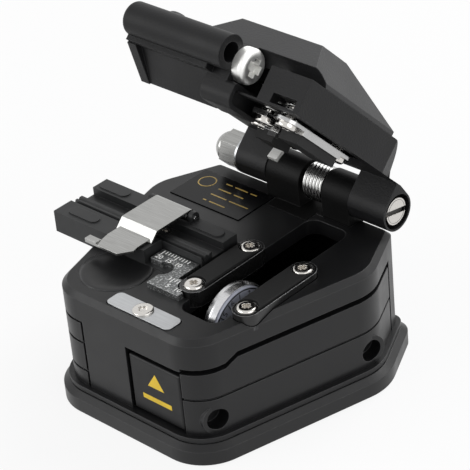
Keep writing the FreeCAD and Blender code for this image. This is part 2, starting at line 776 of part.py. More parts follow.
def make_fibre_holder():
    holder = along_x(holder_section(), HOLDER_X0, HOLDER_X1)
    front_middle = HOLDER_Y0 + HOLDER_FRONT_W / 2
    back_middle = HOLDER_Y1 - HOLDER_BACK_W / 2
    ovals = [oval(x, front_middle) for x in OVAL_XS_FRONT]
    ovals += [oval(x, back_middle) for x in OVAL_XS_BACK]
    holder = union([holder] + ovals)
    shelf = block(SHELF_X0, FAR, HOLDER_Y0 - 1, SCALE_BACK_Y + SEAT_GAP, BODY_TOP, FAR)
    holder = holder.cut(shelf)
    holder = holder.cut(block(LID_X0 - ROLL_POCKET, LID_X1 + ROLL_POCKET,
                              PIN_Y - roll_radius() - ROLL_POCKET, FAR,
                              PIN_Z - roll_radius() - ROLL_POCKET, FAR))
    for x0 in (LID_X0 - ROLL_POCKET - EAR_THICK, LID_X1 + ROLL_POCKET):
        ear = cylinder_x(x0, x0 + EAR_THICK, PIN_Y, PIN_Z, EAR_R)
        post = block(x0, x0 + EAR_THICK, PIN_Y - EAR_R, PIN_Y + EAR_R,
                     HOLDER_TOP - CHANNEL_DEPTH, PIN_Z)
        holder = union([holder, ear, post])
    holder = holder.cut(make_clip_pin())
    for x, y in holder_screw_places():
        holder = holder.cut(cylinder_z(x, y, SMALL_SHANK_R, HOLDER_BOTTOM - 1, FAR))
        holder = holder.cut(cylinder_z(x, y, 1.6, HOLDER_TOP - CHANNEL_DEPTH - 1.1, FAR))
    return holder


def make_holder_screws():
    seat = HOLDER_TOP - CHANNEL_DEPTH - 1.1
    screw = pan_screw(1.55, 1.0, SMALL_SHANK_R, 4.5, 0.8)
    return [turned_to(screw, Z_AXIS, Vector(x, y, seat)) for x, y in holder_screw_places()]


def roll_radius():
    """The lid's rolled edge reaches up to the lid's top face."""
    return LID_TOP - PIN_Z


def make_clip_pin():
    reach = ROLL_POCKET + EAR_THICK
    return cylinder_x(LID_X0 - reach, LID_X1 + reach + 0.4, PIN_Y, PIN_Z, PIN_R)


def make_clip_lid():
    """A folded sheet: a roll on the pin, a flat lid, a step down and a sloping lip."""
    under = LID_TOP - LID_THICK
    step_y = LID_FRONT_Y - LID_STEP
    lip_top = LID_TOP - LID_STEP
    lid = along_x([
        (PIN_Y, under), (PIN_Y, LID_TOP), (LID_FRONT_Y, LID_TOP), (step_y, lip_top),
        (step_y - LID_THICK, lip_top - LID_THICK), (step_y, lip_top - LID_THICK),
        (LID_FRONT_Y + LID_THICK * 0.4, under),
    ], LID_X0, LID_X1)
    x0, x1 = LID_X0 + LID_LIP_IN, LID_X1 - LID_LIP_IN
    end_top = lip_top - LID_LIP_DROP
    lip = along_x([
        (step_y, lip_top), (LID_LIP_BEND_Y, lip_top), (LID_LIP_Y, end_top),
        (LID_LIP_Y, end_top - LID_THICK), (LID_LIP_BEND_Y, lip_top - LID_THICK),
        (step_y, lip_top - LID_THICK),
    ], x0, x1)
    corner = Part.makePolygon([
        Vector(x1 - 3.6, LID_LIP_Y - 1, 0), Vector(x1 + 1, LID_LIP_Y - 1, 0),
        Vector(x1 + 1, LID_LIP_Y + 2.6, 0), Vector(x1, LID_LIP_Y + 2.2, 0),
        Vector(x1 - 3.6, LID_LIP_Y - 1, 0),
    ])
    lip = lip.cut(Part.Face(corner).extrude(Vector(0, 0, FAR)))
    tail = block(LID_TAIL_X, x0, LID_LIP_Y, LID_LIP_Y + LID_TAIL_WIDTH,
                 end_top - LID_THICK, end_top + 0.4)
    roll = cylinder_x(LID_X0, LID_X1, PIN_Y, PIN_Z, roll_radius())
    lid = union([lid, lip, tail, roll])
    return lid.cut(cylinder_x(LID_X0 - 1, LID_X1 + 1, PIN_Y, PIN_Z, PIN_R + RUNNING))


def make_scale_plate():
    """The etched scale: a back strip over the holder and a front leg over the housing."""
    z0 = BODY_TOP
    back = block(SCALE_X0, SCALE_X1, SCALE_MID_Y, SCALE_BACK_Y, z0, z0 + SCALE_THICK)
    leg = block(SCALE_LOW_X0, SCALE_LOW_X1, SCALE_LOW_Y, SCALE_BACK_Y, z0, z0 + SCALE_THICK)
    plate = back.fuse(leg).removeSplitter()
    plate = plate.cut(cylinder_z(SCALE_LOW_X0 - 0.9, SCALE_MID_Y - 1.4, SCALE_NOTCH_R, 0, FAR))
    plate = plate.cut(block(SCALE_X1, FAR, CLAMP_SCREW_YS[0], FAR, 0, FAR))
    return plate.cut(obround(CLAMP_XS[0], CLAMP_SCREW_YS[0], CLAMP_SCREW_YS[1],
                             CLAMP_WIDTH / 2 + MOVING_GAP, 0, FAR))


# ================================================================ slider
def slider_middle():
    return (OPENING_X0 + OPENING_X1) / 2


def push_plate_front():
    return BODY_FRONT_Y + PUSH_PLATE_SET_BACK


def push_plate_back():
    return push_plate_front() + PUSH_PLATE_THICK


def slider_bottom():
    return RAIL_FLOOR + CARRIAGE_LIFT + CARRIAGE_HEIGHT


def rail_screw_places():
    return [(slider_middle(), i * RAIL_SCREW_PITCH) for i in (-1, 0, 1)]


def make_guide_rail():
    """A steel guide rail with grooved flanks and three counterbored holes."""
    x = slider_middle()
    half = RAIL_WIDTH / 2
    top = RAIL_FLOOR + RAIL_HEIGHT
    rail = block(x - half, x + half, -RAIL_LENGTH / 2, RAIL_LENGTH / 2, RAIL_FLOOR, top)
    for side in (-1, 1):
        edge = x + side * half
        groove_z = top - RAIL_HEIGHT * 0.35
        rail = rail.cut(block(min(edge, edge - side * 0.5), max(edge, edge - side * 0.5),
                              -FAR, FAR, groove_z - 0.4, groove_z + 0.4))
    for hole_x, hole_y in rail_screw_places():
        rail = rail.cut(cylinder_z(hole_x, hole_y, RAIL_SCREW_R, RAIL_FLOOR - 1, FAR))
        rail = rail.cut(cylinder_z(hole_x, hole_y, RAIL_SCREW_R + 0.7, top - RAIL_SEAT, FAR))
    return rail


def make_rail_screws():
    seat = RAIL_FLOOR + RAIL_HEIGHT - RAIL_SEAT
    screw = pan_screw(RAIL_SCREW_R + 0.6, 1.1, RAIL_SCREW_R, seat - RAIL_FLOOR + 0.8, 0.8)
    return [turned_to(screw, Z_AXIS, Vector(x, y, seat)) for x, y in rail_screw_places()]


def make_rail_carriage():
    """The block that straddles the rail, with end seals a little smaller."""
    x = slider_middle()
    half = CARRIAGE_WIDTH / 2
    z0 = RAIL_FLOOR + CARRIAGE_LIFT
    y0 = push_plate_back() + 2.0
    y1 = y0 + CARRIAGE_LENGTH
    seal = 1.6
    body = block(x - half, x + half, y0 + seal, y1 - seal, z0, z0 + CARRIAGE_HEIGHT)
    ends = block(x - half + 0.4, x + half - 0.4, y0, y1, z0, z0 + CARRIAGE_HEIGHT - 0.4)
    carriage = union([body, ends])
    room = RAIL_WIDTH / 2 + RUNNING
    rail_top = RAIL_FLOOR + RAIL_HEIGHT
    return carriage.cut(block(x - room, x + room, -FAR, FAR, 0, rail_top + MOVING_GAP))


def make_slider_block():
    """The plate that ties the carriage to the push plate."""
    x0 = OPENING_X0 + SLIDER_GAP + 1.0
    x1 = OPENING_X1 - SLIDER_GAP - 1.0
    y0 = push_plate_back()
    z0 = slider_bottom()
    plate = rounded_block(x0, x1, y0, y0 + SLIDER_LENGTH, z0, z0 + SLIDER_THICK, 1.0)
    return plate


def make_push_plate():
    """The finger plate that fills the front opening, with softened front edges."""
    x0 = OPENING_X0 + SLIDER_GAP
    x1 = OPENING_X1 - SLIDER_GAP
    z0 = BASE_TOP + MOVING_GAP
    plate = block(x0, x1, push_plate_front(), push_plate_back(), z0, PUSH_PLATE_TOP)
    front = [edge for edge in plate.Edges
             if abs(edge.CenterOfMass.y - push_plate_front()) < 1e-6]
    return plate.makeFillet(0.5, front)


def make_wheel_bracket():
    """The upright beside the wheel that holds its axle."""
    x1 = WHEEL_X - MOVING_GAP
    x0 = x1 - BRACKET_THICK
    z0 = slider_bottom() + SLIDER_THICK
    half = BRACKET_WIDTH / 2
    upright = block(x0, x1, WHEEL_Y - half, WHEEL_Y + half, z0, WHEEL_Z)
    foot = block(x0 - 3.0, x1, WHEEL_Y - half, WHEEL_Y + half + 5.0, z0, z0 + 1.6)
    bracket = union([upright, foot, cylinder_x(x0, x1, WHEEL_Y, WHEEL_Z, half)])
    boss = cylinder_x(x1, WHEEL_X - 0.05, WHEEL_Y, WHEEL_Z, AXLE_R + 0.7)
    bracket = bracket.fuse(boss).removeSplitter()
    return bracket.cut(cylinder_x(x0 - 1, WHEEL_X, WHEEL_Y, WHEEL_Z, AXLE_R))


def wheel_right():
    return WHEEL_X + WHEEL_THICK


def make_wheel_axle():
    """A shoulder screw through the wheel into the bracket."""
    head_x = wheel_right() + DIAL_THICK + 0.1
    shank = head_x - (WHEEL_X - MOVING_GAP - BRACKET_THICK)
    screw = pan_screw(AXLE_HEAD_R, AXLE_HEAD, AXLE_R, shank, 1.2)
    return turned_to(screw, X_AXIS, Vector(head_x, WHEEL_Y, WHEEL_Z))


def make_blade_wheel():
    """A hard disc whose rim is ground to a blunt ridge, bored for its axle."""
    middle = WHEEL_THICK / 2
    rim = WHEEL_R - WHEEL_BEVEL
    hole = AXLE_R + RUNNING
    section = [
        (hole, 0), (rim, 0), (WHEEL_R, middle - 0.15), (WHEEL_R, middle + 0.15),
        (rim, WHEEL_THICK), (hole, WHEEL_THICK), (hole, 0),
    ]
    face = Part.Face(Part.makePolygon([Vector(r, 0, h) for r, h in section]))
    disc = face.revolve(ORIGIN, Z_AXIS, 360)
    return turned_to(disc, X_AXIS, Vector(WHEEL_X, WHEEL_Y, WHEEL_Z))


def make_number_dial():
    x0 = wheel_right()
    dial = cylinder_x(x0, x0 + DIAL_THICK, WHEEL_Y, WHEEL_Z, DIAL_R)
    return dial.cut(cylinder_x(x0 - 1, x0 + 2, WHEEL_Y, WHEEL_Z, AXLE_R + RUNNING))


# ================================================================ hinge
def hinge_screw_places():
    """Two screws in the tongue, just clear of the housing's back wall."""
    y = BODY_BACK_Y - WALL - HINGE_SCREW_HEAD_R - MOVING_GAP
    inset = HINGE_SCREW_HEAD_R + 0.6
    return [(LABEL_X1 + inset, y), (SLOT_X0 - inset, y)]


def make_hinge_bracket():
    """One foot with two knuckles, screwed to the housing from below."""
    foot_top = BODY_TOP
    foot = hinge_foot(0, foot_top)
    knuckles = []
    for x0, x1 in ((KNUCKLE_B_X0, KNUCKLE_B_X1), (KNUCKLE_C_X0, KNUCKLE_C_X1)):
        knuckles.append(cylinder_x(x0, x1, HINGE_Y, HINGE_Z, KNUCKLE_R))
        web = [(HINGE_Y - KNUCKLE_R, HINGE_Z), (HINGE_Y + KNUCKLE_R, HINGE_Z),
               (BODY_BACK_Y, foot_top), (HINGE_FOOT_FRONT, foot_top)]
        knuckles.append(along_x(web, x0, x1))
    bracket = union([foot] + knuckles)
    bracket = bracket.cut(cylinder_x(-FAR, FAR, HINGE_Y, HINGE_Z, BOLT_R + RUNNING))
    for x, y in hinge_screw_places():
        bracket = bracket.cut(cylinder_z(x, y, HINGE_SCREW_R, 0, foot_top - 0.4))
    return bracket.cut(make_stop_tab())


def make_hinge_screws():
    """Screws up through the roof into the hinge bracket's foot."""
    screw = pan_screw(HINGE_SCREW_HEAD_R, SMALL_HEAD, HINGE_SCREW_R,
                      BODY_TOP - 0.4 - ROOF_UNDER, SOCKET_RECESS_R)
    return [turned_to(screw, Vector(0, 0, -1), Vector(x, y, ROOF_UNDER))
            for x, y in hinge_screw_places()]


def make_stop_tab():
    """The steel tab let into the left knuckle, near its top."""
    y0 = HINGE_Y - KNUCKLE_R - STOP_TAB_PROUD
    tab = block(STOP_TAB_X, STOP_TAB_X + STOP_TAB, y0, y0 + STOP_TAB_DEPTH,
                HINGE_Z - STOP_TAB / 2, HINGE_Z + STOP_TAB / 2)
    tab.rotate(Vector(0, HINGE_Y, HINGE_Z), X_AXIS, -STOP_TAB_ANGLE)
    return tab


def bolt_head_face():
    return LUG_D_X1 - COUNTERBORE_DEPTH


def make_hinge_bolt():
    end = LUG_A_X0 - WASHER_THICK - NUT_HEIGHT
    shank = cylinder_x(end, bolt_head_face(), HINGE_Y, HINGE_Z, BOLT_R)
    head = cylinder_x(bolt_head_face(), bolt_head_face() + BOLT_HEAD, HINGE_Y, HINGE_Z,
                      BOLT_HEAD_R)
    slot_x = bolt_head_face() + BOLT_HEAD - 0.8
    slot = block(slot_x, FAR, HINGE_Y - FAR, HINGE_Y + FAR, HINGE_Z - 0.4, HINGE_Z + 0.4)
    return shank.fuse(head.cut(slot)).removeSplitter()


def make_hinge_washer():
    x1 = LUG_A_X0
    washer = cylinder_x(x1 - WASHER_THICK, x1, HINGE_Y, HINGE_Z, WASHER_R)
    return washer.cut(cylinder_x(x1 - FAR, x1 + FAR, HINGE_Y, HINGE_Z, BOLT_R))


def make_hinge_nut():
    """An acorn nut: a hexagon with a turned dome on its closed end."""
    x1 = LUG_A_X0 - WASHER_THICK
    corner = NUT_AF / math.sqrt(3)
    ring = [Vector(x1, HINGE_Y + corner * math.cos(math.radians(60 * i)),
                   HINGE_Z + corner * math.sin(math.radians(60 * i))) for i in range(7)]
    hexagon = Part.Face(Part.makePolygon(ring)).extrude(Vector(-NUT_HEIGHT, 0, 0))
    dome_r = NUT_AF / 2 - 0.2
    start = x1 - NUT_HEIGHT
    neck = NUT_DOME * 0.25
    rise = NUT_DOME - neck
    ball_r = (dome_r ** 2 + rise ** 2) / (2 * rise)
    tip = start - NUT_DOME
    ball = Part.makeSphere(ball_r, Vector(tip + ball_r, HINGE_Y, HINGE_Z))
    dome = cylinder_x(tip, start + 0.1, HINGE_Y, HINGE_Z, dome_r).common(ball)
    nut = hexagon.fuse(dome).removeSplitter()
    return nut.cut(cylinder_x(start, FAR, HINGE_Y, HINGE_Z, BOLT_R))


def make_torsion_spring():
    """Close coils round the bolt, between the knuckles."""
    room = KNUCKLE_C_X0 - KNUCKLE_B_X1 - 2 * SPRING_WIRE_R - 2 * LUG_GAP
    spring = coil(SPRING_TURNS, room, SPRING_R, SPRING_WIRE_R)
    return turned_to(spring, X_AXIS,
                     Vector(KNUCKLE_B_X1 + SPRING_WIRE_R + LUG_GAP, HINGE_Y, HINGE_Z))


# ================================================================ arm
def rounded_along_x(points, radii, x0, x1):
    """An outline of (V, W) corners with rounded corners, drawn along X on the arm."""
    outline = [(arm_y(v), arm_z(w)) for v, w in points]
    solid = Part.Face(rounded_wire(outline, radii)).extrude(Vector(0, 0, x1 - x0))
    solid.rotate(ORIGIN, Vector(1, 1, 1), 120)      # X to Y, Y to Z, Z to X
    solid.translate(Vector(x0, 0, 0))
    return solid


def make_arm_frame():
    """The cast arm: a hollow tray with two lugs on the hinge bolt."""
    left, right = LUG_A_X0, LUG_D_X1
    body = rounded_along_x([(ARM_FRONT, ARM_UNDER), (ARM_FRONT, ARM_TOP),
                            (ARM_BACK_TOP, ARM_TOP), (ARM_BACK, ARM_UNDER)],
                           [0, 0, ARM_BACK_R, 0], left, right)
    body = body.cut(arm_block(left + ARM_WALL, right - ARM_WALL, HOLLOW_BACK,
                              ARM_FRONT - ARM_WALL, ARM_UNDER - 1, ARM_TOP - ARM_ROOF))
    body = body.cut(arm_block(WINDOW_X0, WINDOW_X1, ARM_FRONT - ARM_WALL, ARM_FRONT + 1,
                              WINDOW_W0, WINDOW_W1))
    body = body.cut(rear_corner())
    pin_bosses = [arm_cylinder(x, v, UPPER_BOSS_R, UPPER_BOSS_LOW, ARM_TOP - ARM_ROOF)
                  for x, v in upper_pin_places() + [(ANVIL_X, HANGER_V)]]
    lugs = [lug(LUG_A_X0, KNUCKLE_B_X0 - LUG_GAP), lug(KNUCKLE_C_X1 + LUG_GAP, LUG_D_X1)]
    body = union([body] + lugs + pin_bosses + anvil_ears())
    body = body.cut(cylinder_x(KNUCKLE_B_X0 - LUG_GAP, KNUCKLE_C_X1 + LUG_GAP, HINGE_Y, HINGE_Z,
                               KNUCKLE_R + MOVING_GAP))
    body = body.cut(cylinder_x(-FAR, FAR, HINGE_Y, HINGE_Z, BOLT_R))
    body = body.cut(cylinder_x(bolt_head_face(), FAR, HINGE_Y, HINGE_Z, COUNTERBORE_R))
    body = body.cut(handle_stem(SEAT_GAP)).cut(handle_head_room())
    body = body.cut(along_x(panel_section(PANEL_CLEARANCE, PANEL_THICK + SEAT_GAP),
                            LUG_A_X0 - 1, PANEL_X1))
    for x, v in upper_pin_places() + [(ANVIL_X, HANGER_V)]:
        body = body.cut(arm_cylinder(x, v, UPPER_PIN_R, 0, UPPER_PIN_TOP))
    body = body.cut(make_anvil_pin())
    return body.cut(arm_cylinder(TOP_SCREW_X, TOP_SCREW_V, TOP_SCREW_SHANK_R,
                                 ARM_TOP - ARM_ROOF, ARM_TOP))


def rear_corner():
    """The wedge that is cut off the tray's rear right corner, above the lug."""
    corners = [(LUG_D_X1 + 1, CORNER_V), (LUG_D_X1, CORNER_V),
               (LUG_D_X1 - CORNER_IN, CORNER_END_V), (LUG_D_X1 - CORNER_IN, -KNUCKLE_R),
               (LUG_D_X1 + 1, -KNUCKLE_R)]
    outline = [Vector(x, arm_y(v), arm_z(ARM_UNDER)) for x, v in corners]
    face = Part.Face(Part.makePolygon(outline + outline[:1]))
    return face.extrude(Vector(0, 0, ARM_TOP))


def tangent_point(v, w, radius, side):
    """Where the line from (v, w) touches a circle round the hinge axis."""
    angle = math.atan2(w, v) + side * math.acos(radius / math.hypot(v, w))
    return radius * math.cos(angle), radius * math.sin(angle)


def lug(x0, x1):
    """A knuckle on the hinge bolt with straight flanks up to the tray."""
    corners = [(LUG_ROOT, ARM_UNDER), tangent_point(LUG_ROOT, ARM_UNDER, KNUCKLE_R, -1), (0, 0),
               tangent_point(ARM_BACK, ARM_UNDER, KNUCKLE_R, 1), (ARM_BACK, ARM_UNDER)]
    flank = along_x([(arm_y(v), arm_z(w)) for v, w in corners], x0, x1)
    return flank.fuse(cylinder_x(x0, x1, HINGE_Y, HINGE_Z, KNUCKLE_R))


def handle_head_room():
    """The round recess beside the block that takes the handle screw's head."""
    return cylinder_x(HANDLE_X1, HEAD_POCKET_X1, arm_y(HANDLE_SCREW_V), arm_z(HANDLE_SCREW_W),
                      HANDLE_HEAD_R + HEAD_POCKET)


def cap_ring(x0, x1, v0, v1, w):
    """Four corners of a level rectangle on the arm."""
    return [Vector(x0, arm_y(v1), arm_z(w)), Vector(x1, arm_y(v1), arm_z(w)),
            Vector(x1, arm_y(v0), arm_z(w)), Vector(x0, arm_y(v0), arm_z(w))]


def make_arm_cap():
    """The faceted cap: an upright strip, then bevels up to a long ridge."""
    shoulder = ARM_TOP + CAP_STRIP
    strip = arm_block(CAP_X0, CAP_X1, CAP_BACK, ARM_FRONT, ARM_TOP, shoulder)
    low = cap_ring(CAP_X0, CAP_X1, CAP_BACK, ARM_FRONT, shoulder)
    high = cap_ring(CAP_RIDGE_X0, CAP_RIDGE_X1, CAP_RIDGE_BACK, CAP_RIDGE_FRONT,
                    ARM_TOP + CAP_HEIGHT)
    cap = strip.fuse(facets(low, high)).removeSplitter()
    return cap.cut(handle_head_room()).cut(handle_stem(SEAT_GAP))


def facets(low, high):
    """A closed solid of flat faces between two four-cornered rings."""
    faces = [Part.Face(Part.makePolygon(low + low[:1])),
             Part.Face(Part.makePolygon(high + high[:1]))]
    for i in range(4):
        j = (i + 1) % 4
        faces.append(Part.Face(Part.makePolygon([low[i], low[j], high[j], low[i]])))
        faces.append(Part.Face(Part.makePolygon([low[i], high[j], high[i], low[i]])))
    return Part.makeSolid(Part.makeShell(faces))


def panel_section(lift, back):
    """The sloping panel's section; lift raises its outer face, back lowers its inner."""
    (v0, w0), (v1, w1) = PANEL_FRONT, PANEL_FOOT
    length = math.hypot(v1 - v0, w1 - w0)
    out_v, out_w = -(w1 - w0) / length, (v1 - v0) / length
    foot_lift = lift * 0.2
    corners = [(v0 + out_v * lift, w0 + out_w * lift),
               (v1 + out_v * foot_lift, w1 + out_w * foot_lift),
               (v1 - out_v * back, w1 - out_w * back), (v0 - out_v * back, w0 - out_w * back)]
    return [(arm_y(v), arm_z(w)) for v, w in corners]


def handle_stem(gap):
    """The block that hangs in the tray, its boss and its lower cup, grown by gap."""
    low = BLOCK_LOW - gap
    stem = rounded_along_x(
        [(BLOCK_FRONT + gap, BLOCK_TOP + gap), (BLOCK_BACK - gap, BLOCK_TOP + gap),
         (BLOCK_HEEL[0] - gap, BLOCK_HEEL[1] - gap), (BLOCK_BEND[0] - gap, BLOCK_BEND[1] - gap),
         (BLOCK_FRONT + gap, low)],
        [1.2, 1.2, 1.6, 2.0, 2.4], PANEL_X1 - gap, HANDLE_X1 + gap)
    cup = rounded_along_x(
        [(BLOCK_FRONT + gap, CUP_TOP + gap), (CUP_BACK - gap, CUP_TOP + gap),
         (CUP_BACK - gap, low), (BLOCK_FRONT + gap, low)],
        [0.6, 0.8, 2.2, 2.4], PANEL_X1 - gap, CUP_X1 + gap)
    boss = cylinder_x(PANEL_X1 - gap, HANDLE_X1, arm_y(HANDLE_SCREW_V), arm_z(HANDLE_SCREW_W),
                      HANDLE_BOSS_R + gap)
    return union([stem, cup, boss])


def cup_bowl():
    """The shallow hollow in the cup's right face."""
    return rounded_along_x(
        [(BLOCK_FRONT - CUP_RIM, CUP_TOP - CUP_RIM), (CUP_BACK + CUP_RIM, CUP_TOP - CUP_RIM),
         (CUP_BACK + CUP_RIM, BLOCK_LOW + CUP_RIM), (BLOCK_FRONT - CUP_RIM, BLOCK_LOW + CUP_RIM)],
        [0.5, 0.6, 1.2, 1.2], CUP_X1 - CUP_DEPTH, CUP_X1 + 1)


def make_handle():
    """The lift handle: a round bar, a sloping panel and the block that is screwed on."""
    y, z = arm_y(HANDLE_V), arm_z(HANDLE_W)
    bar = cylinder_x(HANDLE_X0, HANDLE_X1, y, z, HANDLE_R)
    end = [edge for edge in bar.Edges if abs(edge.CenterOfMass.x - HANDLE_X0) < 1e-6]
    bar = bar.makeFillet(1.2, end)
    left = HANDLE_X0 + END_INSET
    panel = along_x(panel_section(0, PANEL_THICK), left, PANEL_X1)
    rib = along_x(panel_section(END_RIB_PROUD, PANEL_THICK), left, left + END_RIB)
    web = arm_block(left, PANEL_X1 + 1, ARM_FRONT + SEAT_GAP, HANDLE_V, PANEL_FRONT[1] - 0.8,
                    HANDLE_W)
    handle = union([bar, panel, rib, web, handle_stem(0)]).cut(cup_bowl())
    handle = handle.cut(cylinder_x(HANDLE_X1 - HANDLE_BORE, HANDLE_X1 + 1, y, z, HANDLE_BORE_R))
    return handle.cut(cylinder_x(HANDLE_X1 - HANDLE_SHANK, FAR, arm_y(HANDLE_SCREW_V),
                                 arm_z(HANDLE_SCREW_W), HANDLE_SHANK_R))


def make_handle_screw():
    screw = pan_screw(HANDLE_HEAD_R, HANDLE_HEAD, HANDLE_SHANK_R, HANDLE_SHANK,
                      HANDLE_RECESS_R)
    return turned_to(screw, X_AXIS, Vector(HANDLE_X1, arm_y(HANDLE_SCREW_V),
                                           arm_z(HANDLE_SCREW_W)))


def make_top_screw():
    """The tall round-headed screw on the arm's front left corner."""
    screw = pan_screw(TOP_SCREW_R, TOP_SCREW_HEAD, TOP_SCREW_SHANK_R, ARM_ROOF - 0.2,
                      SOCKET_RECESS_R)
    return turned_to(screw, Z_AXIS, Vector(TOP_SCREW_X, arm_y(TOP_SCREW_V), arm_z(ARM_TOP)))


# ================================================================ upper clamps and anvil
def arm_cylinder(x, v, radius, w0, w1):
    return cylinder_z(x, arm_y(v), radius, arm_z(w0), arm_z(w1))


def upper_clamp_pins(x):
    """The left clamp stops short of the handle's block."""
    return UPPER_PINS_LEFT if x == CLAMP_XS[0] else UPPER_PINS_RIGHT


def upper_pin_places():
    return [(x, v) for x in CLAMP_XS for v in upper_clamp_pins(x)]


def make_upper_clamp(x):
    """A floating bar with round ends, stepped up for the two screws it slides on."""
    v0, v1 = upper_clamp_pins(x)
    bar = obround(x, arm_y(v1), arm_y(v0), CLAMP_WIDTH / 2, arm_z(UPPER_LOW),
                  arm_z(UPPER_LOW + UPPER_THICK))
    reach = SMALL_HEAD_R + SEAT_GAP
    for near, far in ((-FAR, v0 + reach), (v1 - reach, FAR)):
        bar = bar.cut(arm_block(-FAR, FAR, near, far, 0, UPPER_LOW + UPPER_STEP))
    for v in (v0, v1):
        bar = bar.cut(arm_cylinder(x, v, UPPER_PIN_R + RUNNING, -FAR, FAR))
    return bar


def make_upper_pad(x):
    v0, v1 = upper_clamp_pins(x)
    inset = SMALL_HEAD_R + MOVING_GAP
    return arm_block(x - PAD_WIDTH / 2, x + PAD_WIDTH / 2, v0 + inset, v1 - inset,
                     UPPER_LOW - UPPER_PAD_PROUD, UPPER_LOW)


def make_upper_clamp_screws():
    seat = UPPER_LOW + UPPER_STEP
    screw = pan_screw(SMALL_HEAD_R, UPPER_HEAD, UPPER_PIN_R, UPPER_PIN_TOP - seat,
                      SOCKET_RECESS_R)
    return [turned_to(screw, Vector(0, 0, -1), Vector(x, arm_y(v), arm_z(seat)))
            for x, v in upper_pin_places()]


def coil(turns, height, radius, wire_r):
    """A helical spring standing on z = 0 round the Z axis."""
    helix = Part.makeHelix(height / turns, height, radius)
    section = Part.Wire(Part.makeCircle(wire_r, Vector(radius, 0, 0), Y_AXIS))
    return Part.Wire(helix.Edges).makePipeShell([section], True, True)


def spring_between(x, v, w0, w1):
    """A coil on the arm that presses a piece down from the tray's roof."""
    start = w0 + CLAMP_SPRING_WIRE_R
    spring = coil(CLAMP_SPRING_TURNS, w1 - CLAMP_SPRING_WIRE_R - start, CLAMP_SPRING_R,
                  CLAMP_SPRING_WIRE_R)
    return turned_to(spring, Z_AXIS, Vector(x, arm_y(v), arm_z(start)))


def make_clamp_springs():
    return [spring_between(x, v, UPPER_LOW + UPPER_THICK, UPPER_BOSS_LOW)
            for x, v in upper_pin_places()]


def make_anvil_spring():
    return spring_between(ANVIL_X, HANGER_V, ANVIL_TIP_TOP, UPPER_BOSS_LOW)


def anvil_ears():
    """Two ears under the arm's roof that carry the anvil's pin."""
    ears = []
    for side in (-1, 1):
        inner = ANVIL_X + side * (ANVIL_WIDTH / 2 + LUG_GAP)
        outer = inner + side * ANVIL_EAR
        x0, x1 = min(inner, outer), max(inner, outer)
        ears.append(arm_block(x0, x1, ANVIL_PIVOT_V - ANVIL_EYE_R, ANVIL_PIVOT_V + ANVIL_EYE_R,
                              ANVIL_PIVOT_W, ARM_TOP - ARM_ROOF))
        ears.append(cylinder_x(x0, x1, arm_y(ANVIL_PIVOT_V), arm_z(ANVIL_PIVOT_W),
                               ANVIL_EYE_R))
    return ears


def make_anvil_lever():
    """A steel lever: an eye on the pin, a tapering body and a thin nose."""
    x0 = ANVIL_X - ANVIL_WIDTH / 2
    x1 = ANVIL_X + ANVIL_WIDTH / 2
    eye = cylinder_x(x0, x1, arm_y(ANVIL_PIVOT_V), arm_z(ANVIL_PIVOT_W), ANVIL_EYE_R)
    nose_low = ANVIL_TIP_TOP - ANVIL_NOSE_THICK
    section = [
        (ANVIL_PIVOT_V, ANVIL_PIVOT_W + ANVIL_EYE_R), (ANVIL_TIP_V, ANVIL_TIP_TOP),
        (ANVIL_NOSE_V, ANVIL_TIP_TOP), (ANVIL_NOSE_V, nose_low), (ANVIL_TIP_V, nose_low),
        (ANVIL_TIP_V, ANVIL_TIP_LOW), (ANVIL_PIVOT_V, ANVIL_PIVOT_W - ANVIL_EYE_R),
    ]
    body = along_x([(arm_y(v), arm_z(w)) for v, w in section], x0, x1)
    lever = eye.fuse(body).removeSplitter()
    lever = lever.cut(arm_cylinder(ANVIL_X, HANGER_V, UPPER_PIN_R + HANGER_PLAY, -FAR, FAR))
    return lever.cut(cylinder_x(-FAR, FAR, arm_y(ANVIL_PIVOT_V), arm_z(ANVIL_PIVOT_W),
                                ANVIL_PIN_R + RUNNING))


def make_anvil_press():
    """The hard nib under the lever, over the fibre when the arm is down."""
    v = HINGE_Y - FIBRE_Y
    return arm_block(ANVIL_X - ANVIL_PRESS_WIDTH / 2, ANVIL_X + ANVIL_PRESS_WIDTH / 2,
                     v - ANVIL_PRESS_LENGTH / 2, v + ANVIL_PRESS_LENGTH / 2,
                     ANVIL_TIP_LOW - ANVIL_PRESS_DEPTH, ANVIL_TIP_LOW)


def make_anvil_pin():
    reach = ANVIL_WIDTH / 2 + LUG_GAP + ANVIL_EAR
    return cylinder_x(ANVIL_X - reach, ANVIL_X + reach, arm_y(ANVIL_PIVOT_V),
                      arm_z(ANVIL_PIVOT_W), ANVIL_PIN_R)


def make_anvil_screw():
    """The screw up through the anvil's nose that the anvil hangs on."""
    seat = ANVIL_TIP_TOP - ANVIL_NOSE_THICK
    screw = pan_screw(SMALL_HEAD_R, HANGER_HEAD, UPPER_PIN_R, UPPER_PIN_TOP - seat,
                      SOCKET_RECESS_R)
    return turned_to(screw, Vector(0, 0, -1), Vector(ANVIL_X, arm_y(HANGER_V), arm_z(seat)))


